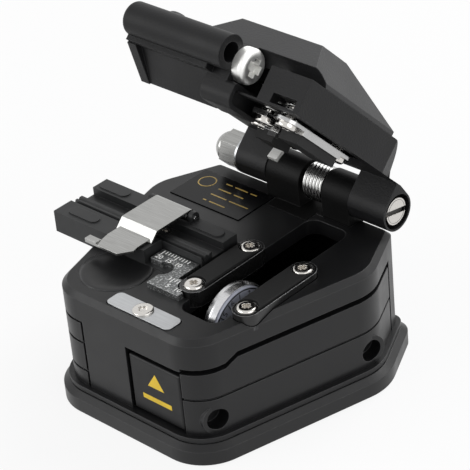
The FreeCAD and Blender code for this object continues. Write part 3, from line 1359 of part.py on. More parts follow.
def main():
    os.makedirs("parts", exist_ok=True)
    save("rubber_mat", make_rubber_mat())
    save("base_plate", make_base_plate())
    save("base_screws", *make_base_screws())
    save("main_housing", make_main_housing())
    save("side_cover", make_side_cover())
    save("insert_plate", make_insert_plate())
    save("insert_screw", make_insert_screw())
    save("label_plate", make_label_plate())
    for side, x in zip(("left", "right"), CLAMP_XS):
        save(f"lower_clamp_{side}", make_lower_clamp(x))
        save(f"lower_pad_{side}", make_lower_pad(x))
    save("lower_clamp_screws", *make_lower_clamp_screws())
    save("fibre_holder", make_fibre_holder())
    save("holder_screws", *make_holder_screws())
    save("clip_pin", make_clip_pin())
    save("clip_lid", make_clip_lid())
    save("scale_plate", make_scale_plate())
    save("guide_rail", make_guide_rail())
    save("rail_screws", *make_rail_screws())
    save("rail_carriage", make_rail_carriage())
    save("slider_block", make_slider_block())
    save("push_plate", make_push_plate())
    save("wheel_bracket", make_wheel_bracket())
    save("wheel_axle", make_wheel_axle())
    save("blade_wheel", make_blade_wheel())
    save("number_dial", make_number_dial())
    save("hinge_bracket", make_hinge_bracket())
    save("hinge_screws", *make_hinge_screws())
    save("stop_tab", make_stop_tab())
    save("torsion_spring", make_torsion_spring())
    save("hinge_bolt", raise_arm(make_hinge_bolt()))
    save("hinge_washer", raise_arm(make_hinge_washer()))
    save("hinge_nut", raise_arm(make_hinge_nut()))
    save("arm_frame", raise_arm(make_arm_frame()))
    save("arm_cap", raise_arm(make_arm_cap()))
    save("handle", raise_arm(make_handle()))
    save("handle_screw", raise_arm(make_handle_screw()))
    save("top_screw", raise_arm(make_top_screw()))
    for side, x in zip(("left", "right"), CLAMP_XS):
        save(f"upper_clamp_{side}", raise_arm(make_upper_clamp(x)))
        save(f"upper_pad_{side}", raise_arm(make_upper_pad(x)))
    save("upper_clamp_screws", *map(raise_arm, make_upper_clamp_screws()))
    save("clamp_springs", *map(raise_arm, make_clamp_springs()))
    save("anvil_lever", raise_arm(make_anvil_lever()))
    save("anvil_press", raise_arm(make_anvil_press()))
    save("anvil_pin", raise_arm(make_anvil_pin()))
    save("anvil_screw", raise_arm(make_anvil_screw()))
    save("anvil_spring", raise_arm(make_anvil_spring()))


main()
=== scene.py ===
"""Looks for a desktop optical fibre cleaver: the finishes of its solids, the small printed and engraved
marks, soft studio light and the camera. Lengths are in metres, in the frame of the solids:
X along the fibre, -Y the push button's side, Z up."""
import json
import math

import bmesh
import bpy
import numpy as np
from mathutils import Matrix, Vector


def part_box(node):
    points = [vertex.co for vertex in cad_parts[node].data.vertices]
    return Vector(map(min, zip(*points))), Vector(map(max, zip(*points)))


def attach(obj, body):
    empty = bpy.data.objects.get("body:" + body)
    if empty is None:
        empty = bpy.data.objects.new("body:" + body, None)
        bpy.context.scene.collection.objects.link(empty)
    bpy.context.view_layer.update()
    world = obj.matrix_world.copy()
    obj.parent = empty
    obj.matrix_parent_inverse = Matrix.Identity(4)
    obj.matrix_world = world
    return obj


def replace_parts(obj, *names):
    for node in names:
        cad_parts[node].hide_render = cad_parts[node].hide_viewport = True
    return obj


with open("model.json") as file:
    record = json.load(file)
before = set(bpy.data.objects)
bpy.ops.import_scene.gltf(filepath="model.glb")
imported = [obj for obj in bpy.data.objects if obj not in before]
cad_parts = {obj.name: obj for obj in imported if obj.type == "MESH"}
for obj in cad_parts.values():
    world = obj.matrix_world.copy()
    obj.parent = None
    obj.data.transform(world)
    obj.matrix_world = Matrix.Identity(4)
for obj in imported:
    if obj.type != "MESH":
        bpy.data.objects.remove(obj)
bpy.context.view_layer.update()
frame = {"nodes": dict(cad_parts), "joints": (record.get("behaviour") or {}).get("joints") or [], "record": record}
NODES = frame["nodes"]
BODIES = frame["record"]["behaviour"]["bodies"]
HINGE = np.array(next(joint["pos_m"] for joint in frame["joints"] if joint["name"] == "arm_hinge"))
SCENE = bpy.context.scene
MM = 0.001
MERGE = 0.002 * MM               # corners closer than this are one
X_AXIS, Y_AXIS, Z_AXIS = Vector((1, 0, 0)), Vector((0, 1, 0)), Vector((0, 0, 1))

# ---------------------------------------------------------------- printed and engraved marks
INK = 0.03 * MM                  # thickness of printed marks
TEXT_RISE = 1.4                  # size of a lettering curve for each unit of its digits' height
DIAL_COUNT = 16
DIAL_TEXT = 1.425 * MM
DIAL_TEXT_IN = 0.95 * DIAL_TEXT  # from the dial's edge to the middle of its numbers
DIAL_LINE = 0.25 * MM
DIAL_LINE_IN = 0.45 * MM
TICK_PITCH = 0.75 * MM
TICK_WIDTH = 0.19 * MM
TICK_LONG = 1.5 * MM
TICK_SHORT = 0.9 * MM
TICKS_TO_LONG = 5
SCALE_START = 0.9 * MM           # from the plate's end to its first tick
SCALE_EDGE = 0.3 * MM            # from the plate's back edge to the ticks
SCALE_TEXT = 1.2 * MM
SCALE_TEXT_PITCH = 2.6 * MM
BACK_TICKS, BACK_NUMBERS = 10, ("20", "15", "10")
BACK_TEXT = (1.3 * MM, -2.5 * MM)
FRONT_TICKS, FRONT_NUMBERS = 7, ("10", "5")
FRONT_TICK_TOP = 4.0 * MM
FRONT_TEXT = (-1.5 * MM, 1.5 * MM)
ARROW_WIDTH = 4.3 * MM
ARROW_HEIGHT = 3.3 * MM
ARROW_FOOT = 0.7 * MM
WORD_BAR, WORD_BAR_HEIGHT, WORD_BAR_DROP = 7.6 * MM, 1.1 * MM, 2.2 * MM
LABEL_RING_R = 1.75 * MM
LABEL_RING_LINE = 0.256 * MM
LABEL_RING_PLACE = (3.6 * MM, -3.4 * MM)
LABEL_TEXT_PLACE = (7.6 * MM, -1.9 * MM)
LABEL_ROW_PITCH = 2.35 * MM
LABEL_BAR = 0.32 * MM
LETTER_WIDTH = 0.85 * MM
WORD_GAP = 0.8 * MM
LABEL_ROWS = ((2, 4, 2), (4, 3), (5, 6), (1, 5))     # widths of the bars, in letters

# ---------------------------------------------------------------- small forms
SCOOP_X, SCOOP_Y = -11.5 * MM, -16.0 * MM
SCOOP_RIM = 7.44 * MM
SCOOP_DEPTH = 0.75 * MM
SCOOP_SKIN = 0.2 * MM
ARM_TILT = math.radians(46)      # the open arm leans back this far
LUG_FLANK = 4.3 * MM             # from the hinge to the lugs' upright front
LUG_UNDER = 4.69 * MM            # from the hinge up to the arm's underside
LUG_CUTS = ((-14.5 * MM, -6.25 * MM), (15.75 * MM, 25.1 * MM))
LUG_REACH, LUG_DROP = 17.0 * MM, 8.5 * MM
LUG_ROUND = (-110, 0)            # where the barrel's round is bare, in degrees from straight ahead
SCREW_V, SCREW_W = 41.8 * MM, 10.3 * MM              # the handle's screw, ahead of and above the hinge
SCREW_ROOM = 3.9 * MM
SCREW_SEAT_X = 9.4 * MM
SCREW_FLAT = 0.5                 # share of the front plate's screw head that stays
BOLT_HEAD_R = 2.9 * MM
BOLT_RIM_R = 0.84 * BOLT_HEAD_R
SLOT_LEAN = -45                  # the solid's slot, in degrees from level
SLOT_TURN = 34                   # degrees that the hinge bolt is turned in its lug
SLOT_WIDTH = 1.05 * MM
SLOT_DEPTH = 0.8 * MM
SLOT_FLOOR = 1.9 * BOLT_HEAD_R
OVERSHOOT = 1.0 * MM             # how far a cutter runs past the face that it cuts

# ---------------------------------------------------------------- surfaces
MIDDLE = (0.3, 0.7)              # the range that most of a noise keeps to
BLOTCH_SCALE = 0.04              # coarse noise, as a share of the grain's scale
EDGE_GAIN = 7.0                  # how soon a leaning normal counts as an edge
EDGE_BREAKS = 900                # scale of the noise that breaks up worn edges
EDGE_LEAST, EDGE_SWING = 0.2, 1.2
BRUSH_STRETCH = (0.03, 1.0, 1.0)
FLECKS = (0.50, 0.68)            # where in the noise etched flecks begin, and where they are full
COAT_GLOSS = (-0.04, 0.05)       # how far a coat's roughness strays
METAL_GLOSS = (0.8, 1.25)        # least and most of a metal's roughness, as shares
ETCH_GLOSS = (0.85, 1.15)
INK_SHADE = 0.8                  # the darkest of uneven ink, as a share of its colour

# ---------------------------------------------------------------- camera and light
CAMERA_PLACE = Vector((263.99, -253.17, 261.08)) * MM
CAMERA_AZIMUTH = 45.53
CAMERA_ELEVATION = 32.197
CAMERA_ROLL = -5.552
CAMERA_LENS = 169.52
AMBIENT = 0.35
FLOOR_GLOW = 0.88                # share of the floor's white that is its own
FLOOR_HALF = 2.0
LIT_PLACE = (0, 0, 0.03)
LAMPS = (                        # name, place, width and height, watts
    ("top_softbox", (0.10, 0.72, 0.78), (0.8, 0.6), 6.5),
    ("left_softbox", (-0.45, -0.75, 0.42), (0.7, 0.6), 3.6),
    ("right_softbox", (0.85, -0.10, 0.35), (0.7, 0.6), 2.2),
)


# ================================================================ mesh helpers
def add_piece(name, mesh, body, material):
    """One piece of one finish that rides on a body."""
    mesh.materials.clear()
    mesh.materials.append(material)
    piece = bpy.data.objects.new(name, mesh)
    SCENE.collection.objects.link(piece)
    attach(piece, body)
    return piece


def add_mesh(name, parts, body, material):
    """One piece made of closed parts, each an array of points and a list of faces."""
    points, faces, start = [], [], 0
    for part_points, part_faces in parts:
        points.append(part_points)
        faces += [[start + corner for corner in face] for face in part_faces]
        start += len(part_points)
    mesh = bpy.data.meshes.new(name)
    mesh.from_pydata(np.concatenate(points).tolist(), [], faces)
    add_piece(name, mesh, body, material)


def mesh_points(mesh):
    """A mesh's corners as an array."""
    points = np.empty(len(mesh.vertices) * 3)
    mesh.vertices.foreach_get("co", points)
    return points.reshape(-1, 3)


def set_points(mesh, points):
    """Move a mesh's corners to an array's places."""
    mesh.vertices.foreach_set("co", np.ravel(points))
    mesh.update()


def outline_prism(outline, depth):
    """A closed slab: the outline, counter-clockwise in XY, at z 0 and at z depth, with a wall between."""
    outline = np.asarray(outline, float)
    count = len(outline)
    low = np.column_stack([outline, np.zeros(count)])
    high = np.column_stack([outline, np.full(count, depth)])
    here = np.arange(count)
    ahead = (here + 1) % count
    walls = np.column_stack([here, ahead, ahead + count, here + count]).tolist()
    caps = [here[::-1].tolist(), (here + count).tolist()]
    return np.concatenate([low, high]), walls + caps


def bar(width, height, depth=INK, x=0.0, y=0.0):
    """A flat bar centred on (x, y)."""
    corners = np.array([(-1, -1), (1, -1), (1, 1), (-1, 1)]) * (width / 2, height / 2) + (x, y)
    return outline_prism(corners, depth)


def ring(radius, width, depth=INK, x=0.0, y=0.0, steps=64):
    """A flat ring: a small rectangle carried once round a circle."""
    turn = np.linspace(0, 2 * np.pi, steps, endpoint=False)[:, None]
    across = np.array([radius, radius + width, radius + width, radius])[None, :]
    up = np.array([0, 0, depth, depth])[None, :] + 0 * turn
    points = np.stack([x + across * np.cos(turn), y + across * np.sin(turn), up], axis=-1)
    row = np.arange(steps)[:, None] * 4
    side = np.arange(4)[None, :]
    next_row, next_side = (row + 4) % (steps * 4), (side + 1) % 4
    faces = np.stack([row + side, row + next_side, next_row + next_side, next_row + side], axis=-1)
    return points.reshape(-1, 3), faces[:, :, ::-1].reshape(-1, 4).tolist()


def lettering(text, height, depth=INK):
    """Plain numerals as closed slabs standing on z 0, centred on the origin."""
    curve = bpy.data.curves.new("numerals", "FONT")
    curve.body = text
    curve.size = height * TEXT_RISE
    curve.align_x = "CENTER"
    curve.resolution_u = 4
    curve.extrude = depth / 2
    holder = bpy.data.objects.new("numerals", curve)
    mesh = bpy.data.meshes.new_from_object(holder)
    points = mesh_points(mesh)
    points[:, 1] -= (points[:, 1].min() + points[:, 1].max()) / 2
    points[:, 2] += depth / 2
    faces = [list(face.vertices) for face in mesh.polygons]
    bpy.data.objects.remove(holder)
    bpy.data.curves.remove(curve)
    bpy.data.meshes.remove(mesh)
    return points, faces


def placed(part, origin, right, up):
    """A part made in XY, set on a surface: its X along right, its Y along up, its Z outwards."""
    points, faces = part
    axes = np.array([right, up, Vector(right).cross(Vector(up))])
    return points @ axes + np.array(origin), faces


def shifted(part, x, y):
    """A part made in XY, moved in XY."""
    points, faces = part
    return points + (x, y, 0), faces


def arm_prism(outline, x0, x1):
    """A closed prism across the open arm: an outline of corners (ahead of the hinge, above it), x0 to x1."""
    points, faces = outline_prism(outline, x1 - x0)
    lean, rise = math.cos(ARM_TILT), math.sin(ARM_TILT)
    axes = np.array([[0, -lean, rise], [0, rise, lean], [-1, 0, 0]])
    return points @ axes + HINGE + (x1, 0, 0), faces


def node_shell(node):
    """A copy of a solid's mesh with its split corners joined again."""
    mesh = NODES[node].data.copy()
    shell = bmesh.new()
    shell.from_mesh(mesh)
    bmesh.ops.remove_doubles(shell, verts=shell.verts, dist=MERGE)
    shell.to_mesh(mesh)
    shell.free()
    return mesh


def cut_mesh(mesh, parts):
    """What stays of a closed mesh when closed parts are taken from it."""
    pieces = [bpy.data.objects.new("block", mesh)]
    for points, faces in parts:
        tool = bpy.data.meshes.new("tool")
        tool.from_pydata(points.tolist(), [], faces)
        pieces.append(bpy.data.objects.new("tool", tool))
        cut = pieces[0].modifiers.new("cut", "BOOLEAN")
        cut.operation, cut.solver, cut.object = "DIFFERENCE", "EXACT", pieces[-1]
    for piece in pieces:
        SCENE.collection.objects.link(piece)
    block = pieces[0].evaluated_get(bpy.context.evaluated_depsgraph_get())
    made = bpy.data.meshes.new_from_object(block)
    for piece in pieces:
        used = piece.data
        bpy.data.objects.remove(piece)
        bpy.data.meshes.remove(used)
    return made


def stand_in(name, node, mesh, material):
    """A piece that is shown in place of a solid and rides on the same body."""
    body = next(body for body, names in BODIES.items() if node in names)
    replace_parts(add_piece(name, mesh, body, material), node)


# ================================================================ shader groups
def new_group(name, inputs, outputs):
    """An empty node group: inputs are (name, default), outputs are (name, socket type)."""
    group = bpy.data.node_groups.new(name, "ShaderNodeTree")
    for socket, default in inputs:
        made = group.interface.new_socket(socket, in_out="INPUT", socket_type="NodeSocketFloat")
        made.default_value = default
    for socket, kind in outputs:
        group.interface.new_socket(socket, in_out="OUTPUT", socket_type=kind)
    return group, group.nodes.new("NodeGroupInput"), group.nodes.new("NodeGroupOutput")


def add_node(tree, kind, links=(), **values):
    """A node with some input sockets set to values and others fed by (socket, source)."""
    node = tree.nodes.new(kind)
    for key, value in values.items():
        node.inputs[key].default_value = value
    for socket, source in links:
        tree.links.new(source, node.inputs[socket])
    return node


def calculate(tree, operation, a, b, clamp=False):
    """One Math node on sockets or numbers."""
    node = tree.nodes.new("ShaderNodeMath")
    node.operation = operation
    node.use_clamp = clamp
    for index, value in enumerate((a, b)):
        if isinstance(value, (int, float)):
            node.inputs[index].default_value = value
        else:
            tree.links.new(value, node.inputs[index])
    return node.outputs[0]


def make_grain_group():
    """Surface grain: a bump of fine noise over softly rounded edges, and a slow blotch from coarse noise."""
    group, given, result = new_group(
        "grain", [("Grain Scale", 3000), ("Grain Depth", 0.00001), ("Edge Radius", 0.0002)],
        [("Normal", "NodeSocketVector"), ("Grain", "NodeSocketFloat"), ("Blotch", "NodeSocketFloat")])
    where = group.nodes.new("ShaderNodeTexCoord").outputs["Object"]
    fine = add_node(group, "ShaderNodeTexNoise",
                    [("Vector", where), ("Scale", given.outputs["Grain Scale"])], Detail=2)
    coarse_scale = calculate(group, "MULTIPLY", given.outputs["Grain Scale"], BLOTCH_SCALE)
    coarse = add_node(group, "ShaderNodeTexNoise", [("Vector", where), ("Scale", coarse_scale)], Detail=3)
    soft = add_node(group, "ShaderNodeBevel", [("Radius", given.outputs["Edge Radius"])])
    bump = add_node(group, "ShaderNodeBump", [
        ("Height", fine.outputs["Fac"]), ("Distance", given.outputs["Grain Depth"]),
        ("Normal", soft.outputs["Normal"])])
    group.links.new(bump.outputs["Normal"], result.inputs["Normal"])
    group.links.new(fine.outputs["Fac"], result.inputs["Grain"])
    group.links.new(coarse.outputs["Fac"], result.inputs["Blotch"])
    return group


def make_edge_group():
    """Edge wear and painted edge highlight: a mask of how far a rounded normal leans from the true one, broken up
    by noise.
    """
    group, given, result = new_group(
        "edge_wear_and_sheen", [("Width", 0.0002), ("Amount", 0.5)], [("Mask", "NodeSocketFloat")])
    where = group.nodes.new("ShaderNodeTexCoord").outputs["Object"]
    soft = add_node(group, "ShaderNodeBevel", [("Radius", given.outputs["Width"])])
    true_normal = group.nodes.new("ShaderNodeNewGeometry").outputs["Normal"]
    agree = group.nodes.new("ShaderNodeVectorMath")
    agree.operation = "DOT_PRODUCT"
    group.links.new(soft.outputs["Normal"], agree.inputs[0])
    group.links.new(true_normal, agree.inputs[1])
    lean = calculate(group, "SUBTRACT", 1.0, agree.outputs["Value"])
    strong = calculate(group, "MULTIPLY", lean, EDGE_GAIN, clamp=True)
    breaks = add_node(group, "ShaderNodeTexNoise", [("Vector", where)], Scale=EDGE_BREAKS, Detail=3)
    uneven = calculate(group, "MULTIPLY_ADD", breaks.outputs["Fac"], EDGE_SWING)
    uneven.node.inputs[2].default_value = EDGE_LEAST
    mask = calculate(group, "MULTIPLY", strong, uneven)
    mask = calculate(group, "MULTIPLY", mask, given.outputs["Amount"], clamp=True)
    group.links.new(mask, result.inputs["Mask"])
    return group


def make_brushed_group():
    """Brushed metal: noise stretched along X, with its scale across the lines."""
    group, given, result = new_group("brushed", [("Line Scale", 4000)], [("Lines", "NodeSocketFloat")])
    where = group.nodes.new("ShaderNodeTexCoord").outputs["Object"]
    stretch = add_node(group, "ShaderNodeMapping", [("Vector", where)], Scale=BRUSH_STRETCH)
    lines = add_node(group, "ShaderNodeTexNoise", [
        ("Vector", stretch.outputs["Vector"]), ("Scale", given.outputs["Line Scale"])], Detail=4)
    group.links.new(lines.outputs["Fac"], result.inputs["Lines"])
    return group


GRAIN = make_grain_group()
EDGE = make_edge_group()
BRUSHED = make_brushed_group()


# ================================================================ materials
def use_group(tree, group, **values):
    """A group placed in a material, with its own values."""
    node = tree.nodes.new("ShaderNodeGroup")
    node.node_tree = group
    for key, value in values.items():
        node.inputs[key.replace("_", " ")].default_value = value
    return node


def new_material(name, **sockets):
    """A Principled material with plain values on its own sockets."""
    material = bpy.data.materials.new(name)
    material.use_nodes = True
    tree = material.node_tree
    shader = tree.nodes["Principled BSDF"]
    for key, value in sockets.items():
        shader.inputs[key.replace("_", " ")].default_value = value
    return material, tree, shader


def mixed_colour(tree, factor, low, high):
    """A colour between low and high, by a factor socket."""
    node = tree.nodes.new("ShaderNodeMix")
    node.data_type = "RGBA"
    tree.links.new(factor, node.inputs[0])
    node.inputs[6].default_value = (*low, 1)
    node.inputs[7].default_value = (*high, 1)
    return node.outputs[2]


def spread(tree, socket, low, high, source=MIDDLE):
    """The socket's range source mapped to low..high, and held there."""
    node = add_node(tree, "ShaderNodeMapRange", [("Value", socket)])
    limits = {"From Min": source[0], "From Max": source[1], "To Min": low, "To Max": high}
    for name, value in limits.items():
        node.inputs[name].default_value = value
    return node.outputs["Result"]


def painted(name, colour, edge_colour, roughness, gloss, grain_scale, grain_depth, edge_radius, wear_and_sheen):
    """Black coat on metal: fine grain, uneven gloss and edges that are a little lighter, partly wear and partly
    painted highlight on the rounded edges.
    """
    material, tree, shader = new_material(name, Specular_IOR_Level=gloss)
    grain = use_group(tree, GRAIN, Grain_Scale=grain_scale, Grain_Depth=grain_depth, Edge_Radius=edge_radius)
    edge = use_group(tree, EDGE, Width=edge_radius, Amount=wear_and_sheen)
    tree.links.new(mixed_colour(tree, edge.outputs["Mask"], colour, edge_colour), shader.inputs["Base Color"])
    low, high = (roughness + stray for stray in COAT_GLOSS)
    tree.links.new(spread(tree, grain.outputs["Blotch"], low, high), shader.inputs["Roughness"])
    tree.links.new(grain.outputs["Normal"], shader.inputs["Normal"])
    return material


def bare_metal(name, colour, dark, roughness, line_scale, grain_depth, edge_radius):
    """Metal whose gloss and tone follow fine brushed lines."""
    material, tree, shader = new_material(name, Metallic=1.0)
    grain = use_group(tree, GRAIN, Grain_Scale=line_scale, Grain_Depth=grain_depth, Edge_Radius=edge_radius)
    lines = use_group(tree, BRUSHED, Line_Scale=line_scale)
    tree.links.new(mixed_colour(tree, spread(tree, lines.outputs["Lines"], 0, 1), dark, colour),
                   shader.inputs["Base Color"])
    low, high = (roughness * share for share in METAL_GLOSS)
    tree.links.new(spread(tree, grain.outputs["Blotch"], low, high), shader.inputs["Roughness"])
    tree.links.new(grain.outputs["Normal"], shader.inputs["Normal"])
    return material


def speckled(name, dark, light, roughness):
    """Etched metal: dull, with small brighter flecks from fine noise."""
    material, tree, shader = new_material(name, Metallic=1.0)
    flecks = use_group(tree, GRAIN, Grain_Scale=2600, Grain_Depth=0.000012, Edge_Radius=0.00008)
    # the edge mask lightens the etched steel's edges: partly wear, partly painted highlight
    edge = use_group(tree, EDGE, Width=0.00012, Amount=0.9)
    mask = spread(tree, flecks.outputs["Grain"], 0, 1, FLECKS)
    bright = calculate(tree, "MAXIMUM", mask, edge.outputs["Mask"])
    tree.links.new(mixed_colour(tree, bright, dark, light), shader.inputs["Base Color"])
    low, high = (roughness * share for share in ETCH_GLOSS)
    tree.links.new(spread(tree, flecks.outputs["Blotch"], low, high), shader.inputs["Roughness"])
    tree.links.new(flecks.outputs["Normal"], shader.inputs["Normal"])
    return material


def printed(name, colour, roughness, glow=0.0):
    """Ink or enamel with a slightly uneven tone; glow is a painted highlight, a small emission in the ink's own
    colour that stands for the shine of engraved edges.
    """
    material, tree, shader = new_material(name, Roughness=roughness, Emission_Color=(*colour, 1),
                                          Emission_Strength=glow)
    grain = use_group(tree, GRAIN, Grain_Scale=5000, Grain_Depth=0.000004, Edge_Radius=0.00002)
    darker = tuple(INK_SHADE * part for part in colour)
    tree.links.new(mixed_colour(tree, spread(tree, grain.outputs["Blotch"], 0, 1), colour, darker),
                   shader.inputs["Base Color"])
    tree.links.new(grain.outputs["Normal"], shader.inputs["Normal"])
    return material


FINISHES = {
    "black_paint": painted("satin_black_paint", (0.007, 0.007, 0.0075), (0.11, 0.11, 0.112), 0.36, 0.34,
                           5200, 0.000008, 0.00022, 0.6),
    "cast_black": painted("textured_black_paint", (0.006, 0.006, 0.0065), (0.05, 0.05, 0.052), 0.50, 0.24,
                          2600, 0.000045, 0.00025, 0.5),
    "grey_anodised": painted("dark_anodised", (0.014, 0.0145, 0.015), (0.06, 0.06, 0.06), 0.48, 0.34,
                             6000, 0.000006, 0.00012, 0.4),
    "brushed_aluminium": bare_metal("brushed_aluminium", (0.56, 0.57, 0.58), (0.48, 0.49, 0.50), 0.32,
                                    6000, 0.000002, 0.00008),
    "spring_steel": bare_metal("rolled_spring_steel", (0.42, 0.42, 0.41), (0.33, 0.33, 0.32), 0.20,
                               7000, 0.000001, 0.00010),
    "etched_steel": speckled("etched_steel", (0.16, 0.165, 0.165), (0.55, 0.56, 0.56), 0.42),
    "ground_steel": bare_metal("ground_steel", (0.50, 0.50, 0.50), (0.42, 0.42, 0.42), 0.20,
                               7000, 0.000001, 0.00010),
    "nickel_steel": bare_metal("nickel_plate", (0.66, 0.64, 0.61), (0.60, 0.58, 0.55), 0.13,
                               3500, 0.000001, 0.00012),
    "zinc_steel": bare_metal("zinc_plate", (0.48, 0.49, 0.50), (0.40, 0.41, 0.42), 0.28,
                             4000, 0.000003, 0.00010),
    "spring_wire": bare_metal("drawn_wire", (0.56, 0.56, 0.55), (0.46, 0.46, 0.45), 0.18,
                              5000, 0.000001, 0.00004),
    "carbide": bare_metal("polished_carbide", (0.66, 0.66, 0.67), (0.58, 0.58, 0.59), 0.22,
                          9000, 0.000001, 0.00006),
    "dial_grey": printed("dial_enamel", (0.62, 0.64, 0.74), 0.42),
    "rubber": painted("black_rubber", (0.010, 0.010, 0.010), (0.02, 0.02, 0.02), 0.62, 0.3,
                      2600, 0.000020, 0.00020, 0.2),
    "push_plastic": painted("push_button_black", (0.006, 0.006, 0.0065), (0.06, 0.06, 0.06), 0.42, 0.3,
                            6000, 0.000006, 0.00025, 0.5),
    "label_black": painted("gloss_label", (0.003, 0.003, 0.0035), (0.03, 0.03, 0.03), 0.22, 0.2,
                           1800, 0.000001, 0.00006, 0.2),
    "ceramic_dark": painted("dark_ceramic", (0.03, 0.03, 0.03), (0.1, 0.1, 0.1), 0.3, 0.5,
                            5000, 0.000003, 0.00006, 0.3),
}
# blackened steel whose edges are painted light at full strength: partly bright bare edges, partly painted
# highlight along the edges
BLACKENED = painted("blackened_steel", (0.008, 0.008, 0.008), (0.60, 0.60, 0.60), 0.25, 0.5,
                    6000, 0.000002, 0.00016, 1.0)
# solids whose surface differs from the rest of their slot
NODE_FINISHES = {
    "lower_clamp_left": BLACKENED,
    "lower_clamp_right": BLACKENED,
    # the stop tab: a near-white metal colour, painted light
    "stop_tab": bare_metal("tab_painted_bright", (0.95, 0.95, 0.93), (0.88, 0.88, 0.86), 0.6,
                           5000, 0.000003, 0.00012),
    # the handle's screw: a near-white copy of plated metal, a painted highlight for its brightly lit head
    "handle_screw": bare_metal("screw_painted_bright", (0.92, 0.92, 0.90), (0.84, 0.84, 0.82), 0.5,
                               5000, 0.000003, 0.00012),
    # the hinge knuckles: a darker, duller copy of the textured black paint, as painted shade
    "hinge_bracket": painted("knuckle_black_paint_painted_shade", (0.004, 0.004, 0.004), (0.03, 0.03, 0.03), 0.5, 0.12,
                             2600, 0.000040, 0.00025, 0.5),
    "hinge_nut": bare_metal("turned_nut", (0.40, 0.40, 0.39), (0.28, 0.28, 0.27), 0.24,
                            5000, 0.000002, 0.00012),
}
# a lighter copy of the black paint for the arm's cap: painted light, for the top-back light that the cap catches
CAP_LIT_BLACK = painted("cap_black_paint_painted_light", (0.022, 0.022, 0.023), (0.07, 0.07, 0.072), 0.44, 0.42,
                    2600, 0.000040, 0.00025, 0.5)
# dark metal: painted shadow on the hinge bolt's slot floor, and a dark line near the bolt head's rim
SLOT_SHADOW_AND_RIM = bare_metal("slot_shadow_and_rim_line", (0.10, 0.10, 0.10), (0.06, 0.06, 0.06), 0.4,
                        5000, 0.000002, 0.00004)
BLACK_INK = printed("black_ink", (0.02, 0.02, 0.022), 0.5)
# the engraved marks glow a little (emission 0.30): painted highlight for the shine of engraved edges
WHITE_INK = printed("pale_engraving_painted_shine", (0.95, 0.95, 0.93), 0.5, 0.30)
YELLOW_INK = printed("yellow_ink", (0.92, 0.62, 0.03), 0.45)
GOLD_INK = printed("gold_ink", (0.62, 0.42, 0.10), 0.4)


def dress_nodes():
    """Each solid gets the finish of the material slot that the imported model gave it."""
    for name, node in NODES.items():
        for slot in node.material_slots:
            finish = FINISHES[slot.material.name.split(".")[0]]
            slot.material = NODE_FINISHES.get(name, finish)


# ================================================================ marks
def dial_marks():
    """Plain numbers round the wheel's dial, their tops outwards, with a thin line near the rim."""
    low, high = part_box("number_dial")
    centre = Vector((high.x, (low.y + high.y) / 2, (low.z + high.z) / 2))
    radius = (high.y - low.y) / 2
    parts = []
    for index in range(DIAL_COUNT):
        turn = 2 * math.pi * index / DIAL_COUNT
        outwards = Vector((0, math.sin(turn), math.cos(turn)))
        place = centre + outwards * (radius - DIAL_TEXT_IN)
        parts.append(placed(lettering(str(index + 1), DIAL_TEXT), place, outwards.cross(X_AXIS), outwards))
    line = ring(radius - DIAL_LINE_IN, DIAL_LINE)
    parts.append(placed(line, centre, Y_AXIS, Z_AXIS))
    add_mesh("dial_numbers", parts, "wheel", BLACK_INK)


def scale_side(corner, toward, ticks, tick_top, numbers, text_place):
    """A row of ticks from a corner of the scale plate, left or right by toward, and its numbers."""
    parts = []
    for index in range(ticks):
        tall = TICK_SHORT if index % TICKS_TO_LONG else TICK_LONG
        along = toward * (SCALE_START + index * TICK_PITCH)
        tick = bar(TICK_WIDTH, tall, x=along, y=tick_top - tall / 2)
        parts.append(placed(tick, corner, X_AXIS, Y_AXIS))
    for index, number in enumerate(numbers):
        along = text_place[0] + toward * index * SCALE_TEXT_PITCH
        text = shifted(lettering(number, SCALE_TEXT), along, text_place[1])
        parts.append(placed(text, corner, X_AXIS, Y_AXIS))
    return parts


def scale_marks():
    """Ticks along the plate's back edge and its front right edge, with plain numbers."""
    low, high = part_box("scale_plate")
    back, front = Vector((low.x, high.y, high.z)), Vector((high.x, low.y, high.z))
    parts = scale_side(back, 1, BACK_TICKS, -SCALE_EDGE, BACK_NUMBERS, BACK_TEXT)
    parts += scale_side(front, -1, FRONT_TICKS, FRONT_TICK_TOP, FRONT_NUMBERS, FRONT_TEXT)
    add_mesh("scale_marks", parts, "base", WHITE_INK)


def push_marks():
    """A plain arrow head over a plain bar on the push plate's face."""
    low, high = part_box("push_plate")
    middle = Vector(((low.x + high.x) / 2, low.y, (low.z + high.z) / 2))
    arrow = outline_prism(np.array([(-0.5, 0), (0.5, 0), (0, 1)]) * (ARROW_WIDTH, ARROW_HEIGHT), INK)
    word = bar(WORD_BAR, WORD_BAR_HEIGHT, y=-WORD_BAR_DROP)
    parts = [placed(part, middle, X_AXIS, Z_AXIS) for part in (shifted(arrow, 0, ARROW_FOOT), word)]
    add_mesh("push_arrow", parts, "slider", YELLOW_INK)


def label_marks():
    """A plain ring and rows of short bars in place of print."""
    low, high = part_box("label_plate")
    corner = Vector((low.x, high.y, high.z))
    ring_x, ring_y = LABEL_RING_PLACE
    parts = [placed(ring(LABEL_RING_R, LABEL_RING_LINE, x=ring_x, y=ring_y), corner, X_AXIS, Y_AXIS)]
    for row, words in enumerate(LABEL_ROWS):
        start, level = LABEL_TEXT_PLACE[0], LABEL_TEXT_PLACE[1] - row * LABEL_ROW_PITCH
        for letters in words:
            long = letters * LETTER_WIDTH
            parts.append(placed(bar(long, LABEL_BAR, x=start + long / 2, y=level), corner, X_AXIS, Y_AXIS))
            start += long + WORD_GAP
    add_mesh("label_print", parts, "base", GOLD_INK)


